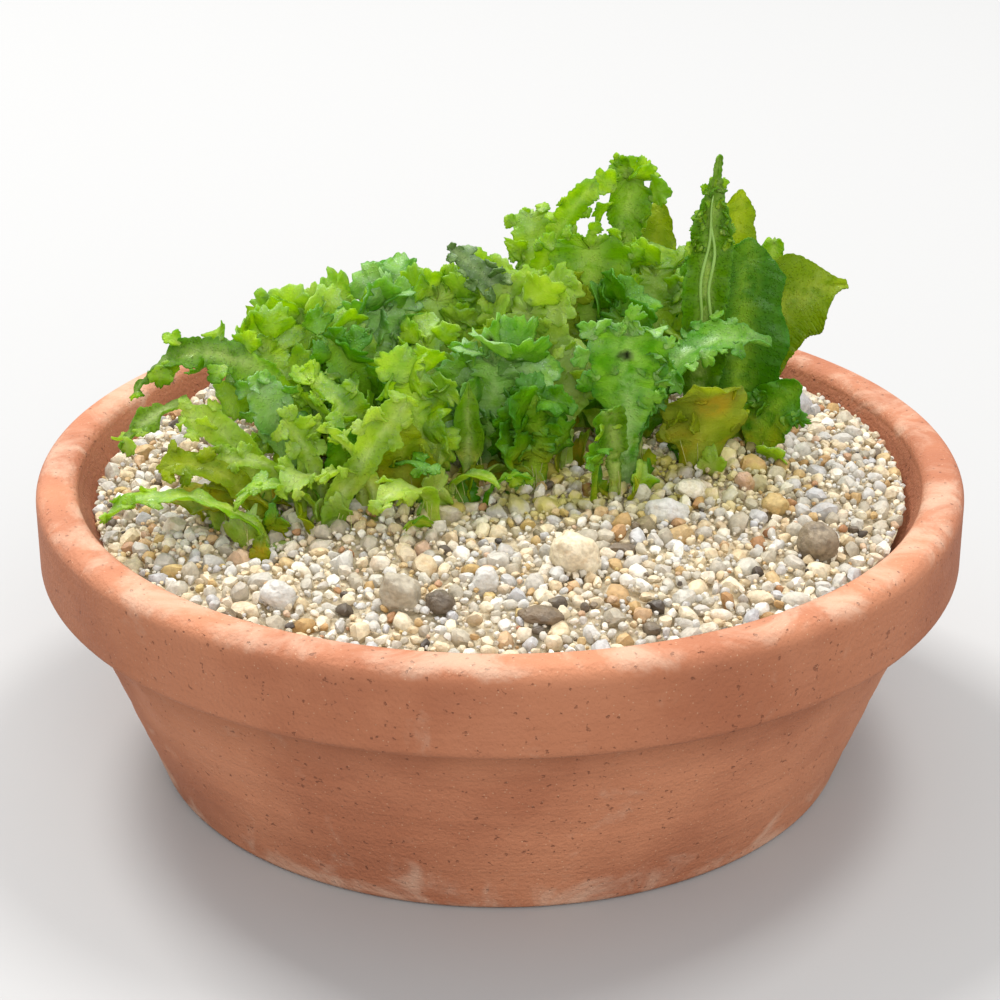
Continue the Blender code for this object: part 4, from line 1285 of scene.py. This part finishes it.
# A size of grain: how many are tried, their smallest and largest radius, how far their middles
# are above the sand's surface as shares of their radius, and whether their shapes are fine ones.
GrainSize = namedtuple("GrainSize", "tries smallest largest low high fine")
GRAIN_SIZES = (
    GrainSize(300, 0.80, 1.10, -0.45, 0.00, False),
    GrainSize(4200, 0.46, 0.74, -0.40, 0.20, False),
    GrainSize(15000, 0.28, 0.44, -0.30, 0.50, False),
    GrainSize(30000, 0.17, 0.26, -0.40, 1.00, True),
)
CROWDING = 0.74
HASH_STEP = 1.5


def grain_shapes(count, subdivisions, seed):
    """A few chipped grains of unit size, as arrays of points and faces."""
    rng = Random(seed)
    shapes = []
    for index in range(count):
        bpy.ops.mesh.primitive_ico_sphere_add(subdivisions=subdivisions, radius=1.0)
        model = bpy.context.object
        shift = Vector((index * 3.1, seed, 0.0))
        for vert in model.data.vertices:
            vert.co *= 1.0 + UNROUNDNESS * noise.noise(vert.co * 0.9 + shift)
        for _ in range(FACETS):
            way = Vector((rng.gauss(0, 1), rng.gauss(0, 1), rng.gauss(0, 1))).normalized()
            reach = rng.uniform(*FACET_REACH)
            for vert in model.data.vertices:
                vert.co -= way * max(vert.co.dot(way) - reach, 0.0)
        points = np.array([vert.co for vert in model.data.vertices], np.float32)
        shapes.append((points, [tuple(face.vertices) for face in model.data.polygons]))
        bpy.data.objects.remove(model)
    return shapes


def scatter_grains(keep_out):
    """Places for the grains, the largest first, so that none is deep in another."""
    rng = Random("grains")
    taken = {}
    grains = []

    def cell_of(x, y):
        """The square of the search grid that a place is in."""
        return floor(x / HASH_STEP), floor(y / HASH_STEP)

    for x, y, radius in keep_out:
        taken.setdefault(cell_of(x, y), []).append((x, y, radius))
    for size in GRAIN_SIZES:
        for _ in range(size.tries):
            radius = rng.uniform(size.smallest, size.largest)
            reach = (SAND_RADIUS - 0.6 * radius) * rng.random() ** 0.5
            angle = rng.uniform(0.0, tau)
            x, y = reach * cos(angle), reach * sin(angle)
            column, row = cell_of(x, y)
            near = (
                other
                for i in range(column - 2, column + 3)
                for j in range(row - 2, row + 3)
                for other in taken.get((i, j), ())
            )
            if all(hypot(x - a, y - b) > CROWDING * (radius + r) for a, b, r in near):
                taken.setdefault((column, row), []).append((x, y, radius))
                lift = radius * rng.uniform(size.low, size.high)
                grains.append((x, y, sand_height(x, y) + lift, radius, size.fine))
    return grains


def damp_film(x, y):
    """How much yellow-green film the sand bears at a place: most at the foot of the tuft."""
    distance = hypot((x - FILM_MIDDLE[0]) / FILM_REACH[0], (y - FILM_MIDDLE[1]) / FILM_REACH[1])
    return FILM_STRENGTH * (1.0 - soft_step(distance, *FILM_FADE))


Heap = namedtuple("Heap", "points faces tints films")


def grain_pieces(coarse, fine, grains):
    """One joined mesh for each kind of grain, with each grain's own shape, size, turn and tint."""
    rng = Random("kinds")
    heaps = {kind.name: Heap([], [], [], []) for kind in KINDS}
    for x, y, z, radius, is_fine in grains:
        kind = rng.choices(KINDS, [kind.share for kind in KINDS])[0]
        points, faces = rng.choice(fine if is_fine else coarse)
        turn = Euler((rng.uniform(*GRAIN_TILTS), rng.uniform(*GRAIN_TILTS), rng.uniform(0, tau)))
        wide = radius * rng.uniform(*GRAIN_WIDTHS)
        stretch = np.array((radius, wide, radius * kind.flatness * rng.uniform(*GRAIN_HEIGHTS)))
        heap = heaps[kind.name]
        first = len(heap.points)
        turned = (points * stretch) @ np.array(turn.to_matrix()).T
        heap.points.extend((turned + np.array((x, y, z))) * MM)
        heap.faces.extend(tuple(index + first for index in face) for face in faces)
        heap.tints.extend([rng.random()] * len(points))
        heap.films.extend([damp_film(x, y)] * len(points))
    return [heap_piece(name, heap) for name, heap in heaps.items()]


def heap_piece(name, heap):
    """One kind's grains as a piece that carries their tints and the damp film."""
    mesh = bpy.data.meshes.new(name)
    mesh.from_pydata(heap.points, [], heap.faces)
    carry(mesh, "tint", heap.tints)
    carry(mesh, "film", heap.films)
    mesh.shade_smooth()
    mesh.set_sharp_from_angle(angle=radians(GRAIN_SHARP_ANGLE))
    return add_object(name, mesh)


# A pebble: its middle on the sand's surface, its three widths, its turn in degrees, its seed, its
# kind of stone, where it is on that kind's colours, and its slot. The solids have the first five.
Pebble = namedtuple("Pebble", "name place size turn seed kind tint slot")
PEBBLES = (
    Pebble("pebble_white", (11.4, -9.4), (3.2, 2.0, 1.8), 12, 1.0, "quartz", 0.34, "pale_stone"),
    Pebble("pebble_block", (-14.4, -20.0), (2.4, 2.2, 2.0), 30, 2.0, "quartz", 0.36, "pale_stone"),
    Pebble("pebble_brown", (21.4, -13.4), (3.4, 2.8, 2.4), 75, 3.0, "dark", 0.52, "brown_stone"),
    Pebble("pebble_red", (19.0, -8.0), (2.0, 1.7, 1.5), 20, 4.0, "honey", 0.86, "red_stone"),
    Pebble("pebble_cream", (5.0, -16.4), (4.0, 3.6, 2.8), 50, 5.0, "shell", 0.55, "cream_stone"),
    Pebble("speckled_pebble", (-3.8, -21.6), (2.0, 1.8, 1.6), 15, 6.0, "dark", 0.10, "shell_sand"),
    Pebble("clear_pebble", (-6.4, -20.6), (3.6, 2.8, 2.2), 65, 7.0, "quartz", 0.52, "shell_sand"),
    Pebble("flat_pebble", (2.6, -23.4), (2.8, 1.8, 1.1), 8, 8.0, "dark", 0.95, "shell_sand"),
    Pebble("clear_block", (22.0, 11.0), (4.4, 3.2, 2.6), 35, 9.0, "quartz", 0.84, "shell_sand"),
    Pebble("small_white_pebble", (-0.9, -19.4), (2.0, 1.8, 1.7), 80, 10.0, "quartz", 0.36, "shell_sand"),
    Pebble("yellow_pebble", (13.4, -5.8), (2.6, 1.8, 1.5), 25, 11.0, "shell", 0.18, "shell_sand"),
    Pebble("orange_pebble", (17.2, -4.6), (1.8, 1.4, 1.2), 60, 12.0, "honey", 0.55, "shell_sand"),
    Pebble("stem_pebble", (9.8, -6.6), (1.9, 1.5, 1.4), 40, 13.0, "quartz", 0.38, "shell_sand"),
)
DENT_DEPTH = 0.22
DENT_PACE = 1.3
WEAR_DEPTH = 0.05
WEAR_PACE = 4.0
PEBBLE_LIFT = 0.2
PEBBLE_CLEARANCE = 0.46


def pebble_piece(stone):
    """A worn pebble, with the solid's dents and finer wear."""
    bpy.ops.mesh.primitive_ico_sphere_add(subdivisions=5, radius=1.0)
    piece = bpy.context.object
    piece.name = stone.name + "_stone"
    half = Vector(stone.size) / 2
    x, y = stone.place
    middle = Vector((x, y, sand_height(x, y) + PEBBLE_LIFT * stone.size[2]))
    turn = Matrix.Rotation(radians(stone.turn), 3, "Z") @ Matrix.Rotation(radians(stone.turn), 3, "Y")
    shift = Vector((stone.seed, 0.0, 0.0))
    for vert in piece.data.vertices:
        dent = 1.0 + DENT_DEPTH * noise.noise(vert.co * DENT_PACE + shift)
        dent += WEAR_DEPTH * noise.fractal(vert.co * WEAR_PACE + shift, 1.0, 2.0, 4)
        vert.co = (middle + turn @ Vector(a * b * dent for a, b in zip(vert.co, half))) * MM
    piece.data.shade_smooth()
    for label, value in (("tint", stone.tint), ("film", PEBBLE_FILM * damp_film(x, y))):
        carry(piece.data, label, [value] * len(piece.data.vertices))
    return piece


THREAD_TAPER = 0.6


def thread_piece(name, routes, radius, sides):
    """Fine round threads along their routes, as one piece."""
    piece = open_piece(name)
    edited = bmesh.from_edit_mesh(piece.data)
    for route in routes:
        rings = []
        for index, point in enumerate(route):
            ahead = (route[min(index + 1, len(route) - 1)] - route[max(index - 1, 0)]).normalized()
            across = ahead.orthogonal().normalized()
            up = ahead.cross(across)
            share = index / (len(route) - 1)
            width = radius * (1.0 - THREAD_TAPER * abs(2.0 * share - 1.0) ** 3)
            angles = (tau * side / sides for side in range(sides))
            rings.append([
                edited.verts.new((point + (across * cos(angle) + up * sin(angle)) * width) * MM)
                for angle in angles
            ])
        for low, high in zip(rings, rings[1:]):
            for side in range(sides):
                after = (side + 1) % sides
                edited.faces.new((low[side], low[after], high[after], high[side]))
        edited.faces.new(reversed(rings[0]))
        edited.faces.new(rings[-1])
    bmesh.update_edit_mesh(piece.data)
    bpy.ops.object.mode_set(mode="OBJECT")
    piece.data.shade_smooth()
    return piece


RHIZOIDS_EACH = 4
RHIZOID_RADIUS = 0.035
RHIZOID_SIDES = 4
RHIZOID_STEPS = 6
RHIZOID_PLACES = (0.04, 0.12)
RHIZOID_REACH = (0.5, 1.8)
RHIZOID_SWAY = (-0.4, 0.4)
RHIZOID_SAG = 0.3
RHIZOID_SINK = 0.3
KEEL_RADIUS = 0.13
KEEL_SIDES = 6
KEEL_STEPS = 18
KEEL_WAVE = 0.10
KEEL_WAVE_PACE = 11.0
KEEL_LIFT = 0.2
# The keel's two strands: where along the frond each starts and ends, and where across it.
KEELS = (((0.36, 0.88), (-0.20, -0.10)), ((0.36, 0.80), (0.34, 0.05)))


def rhizoid_routes(sheets):
    """Fine hairs from the feet of the fronds down among the grains."""
    rng = Random("rhizoids")
    routes = []
    for frond in FRONDS:
        if len(frond.root) == 3:
            continue
        sheet = sheets[frond.name]
        for _ in range(RHIZOIDS_EACH):
            column = int(rng.uniform(*RHIZOID_PLACES) * sheet.points.shape[1])
            start = on_sheet(sheet, rng.choice((column, -1 - column)), rng.uniform(0.0, 0.8))
            angle = rng.uniform(0.0, tau)
            reach = rng.uniform(*RHIZOID_REACH)
            x, y = start.x + reach * cos(angle), start.y + reach * sin(angle)
            end = Vector((x, y, sand_height(x, y) - RHIZOID_SINK))
            drop = -RHIZOID_SAG * max(start.z - end.z, 0.0)
            sag = Vector((rng.uniform(*RHIZOID_SWAY), rng.uniform(*RHIZOID_SWAY), drop))
            shares = [step / RHIZOID_STEPS for step in range(RHIZOID_STEPS + 1)]
            routes.append([start.lerp(end, share) + sag * sin(pi * share) for share in shares])
    return routes


def keel_routes(sheets, spines):
    """Two pale strands that run up the front of the tall pointed frond."""
    frond = next(row for row in FRONDS if row.name == "tall_pointed")
    routes = []
    for alongs, acrosses in KEELS:
        route = []
        for step in range(KEEL_STEPS + 1):
            share = step / KEEL_STEPS
            along = between(alongs, share)
            across = between(acrosses, share) + KEEL_WAVE * sin(share * KEEL_WAVE_PACE)
            place = int(along * side_count(frond))
            out = frame_at(frond, spines[frond.name], along)[3]
            column = place if across < 0 else -1 - place
            route.append(on_sheet(sheets[frond.name], column, abs(across)) + out * KEEL_LIFT)
        routes.append(route)
    return routes


FLOOR_SIZE = 3.0
CAMERA_ELEVATION = 24.0
CAMERA_DISTANCE = 0.184
CAMERA_TARGET = (0.0, -0.001, 0.0190)
CAMERA_LENS = 92.0
CAMERA_CLIP_START = 0.005
# The soft square lights: where each is, its side in metres and its power.
LIGHTS = {
    "key": ((-0.28, 0.30, 0.62), 0.22, 5.0),
    "top": ((0.22, 0.18, 0.70), 0.20, 2.8),
    "front": ((0.12, -0.66, 0.46), 0.45, 3.1),
}


def studio():
    """The pale floor, the soft lights that face the plant, and the camera."""
    bpy.ops.mesh.primitive_plane_add(size=FLOOR_SIZE)
    ground = bpy.context.object
    ground.name = "floor"
    material, nodes, shader = new_material("pale_floor")
    nodes.fill(shader, {"Base Color": (0.39, 0.385, 0.375, 1.0), "Roughness": 0.9})
    ground.data.materials.append(material)
    world = bpy.data.worlds.new("studio")
    world.use_nodes = True
    sky = world.node_tree.nodes["Background"]
    Nodes(world.node_tree).fill(sky, {"Color": (0.94, 0.96, 1.0, 1.0), "Strength": 0.93})
    bpy.context.scene.world = world
    bpy.context.scene.view_settings.view_transform = "Standard"
    target = Vector(CAMERA_TARGET)
    for name, (where, side, power) in LIGHTS.items():
        light = bpy.data.lights.new(name, "AREA")
        light.size = side
        light.energy = power
        holder = add_object(name, light)
        holder.location = where
        holder.rotation_euler = (target - Vector(where)).to_track_quat("-Z", "Y").to_euler()
    camera = bpy.data.cameras.new("camera")
    camera.lens = CAMERA_LENS
    camera.clip_start = CAMERA_CLIP_START
    holder = add_object("camera", camera)
    lean = radians(CAMERA_ELEVATION)
    holder.location = target + Vector((0.0, -cos(lean), sin(lean))) * CAMERA_DISTANCE
    holder.rotation_euler = (pi / 2 - lean, 0.0, 0.0)
    bpy.context.scene.camera = holder


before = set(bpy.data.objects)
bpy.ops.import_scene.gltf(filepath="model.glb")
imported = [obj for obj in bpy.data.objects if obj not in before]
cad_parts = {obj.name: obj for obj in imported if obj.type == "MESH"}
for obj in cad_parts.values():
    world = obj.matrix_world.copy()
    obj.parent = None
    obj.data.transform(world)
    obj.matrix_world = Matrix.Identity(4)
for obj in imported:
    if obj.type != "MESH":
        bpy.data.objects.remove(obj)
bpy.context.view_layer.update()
deselect()

tissue = tissue_group()
tissue_materials = {name: tissue_material(name, tissue) for name in TISSUES}
stone = stone_group()
stone_materials = {name: stone_material(name, stone) for name in STONES}

settle(pot_piece(), ["pot"], clay_material())
settle(sand_bed(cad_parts["sand"]), ["sand"], stone_materials["shell"])
stones_out = [(*pebble.place, PEBBLE_CLEARANCE * min(pebble.size[:2])) for pebble in PEBBLES]
coarse_shapes = grain_shapes(COARSE_SHAPES, 2, 1)
fine_shapes = grain_shapes(FINE_SHAPES, 1, 2)
for heap in grain_pieces(coarse_shapes, fine_shapes, scatter_grains(stones_out)):
    settle(heap, [], stone_materials[heap.name.split("_")[0]])
for pebble in PEBBLES:
    solids = [pebble.name] if pebble.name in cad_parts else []
    settle(pebble_piece(pebble), solids, stone_materials[pebble.kind])

all_fronds = FRONDS + THIN_STRAPS
spines = {frond.name: trace_spine(frond) for frond in all_fronds}
sheets = {frond.name: frond_sheet(frond, spines[frond.name]) for frond in all_fronds}
for frond in all_fronds:
    piece = frond_piece(frond, spines[frond.name], sheets[frond.name])
    solids = [frond.name] if frond.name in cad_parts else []
    settle(piece, solids, tissue_materials[LOOKS.get(frond.name, frond.tone)])
for tone, lobes in foot_lobes().items():
    settle(foot_piece(tone, lobes), [], tissue_materials[tone])
rhizoids = thread_piece("rhizoids", rhizoid_routes(sheets), RHIZOID_RADIUS, RHIZOID_SIDES)
settle(rhizoids, [], strand_material("rhizoid", colour(170, 166, 96), 0.5))
keel = thread_piece("keel_strands", keel_routes(sheets, spines), KEEL_RADIUS, KEEL_SIDES)
settle(keel, [], strand_material("keel", colour(136, 172, 80), 0.3))

studio()
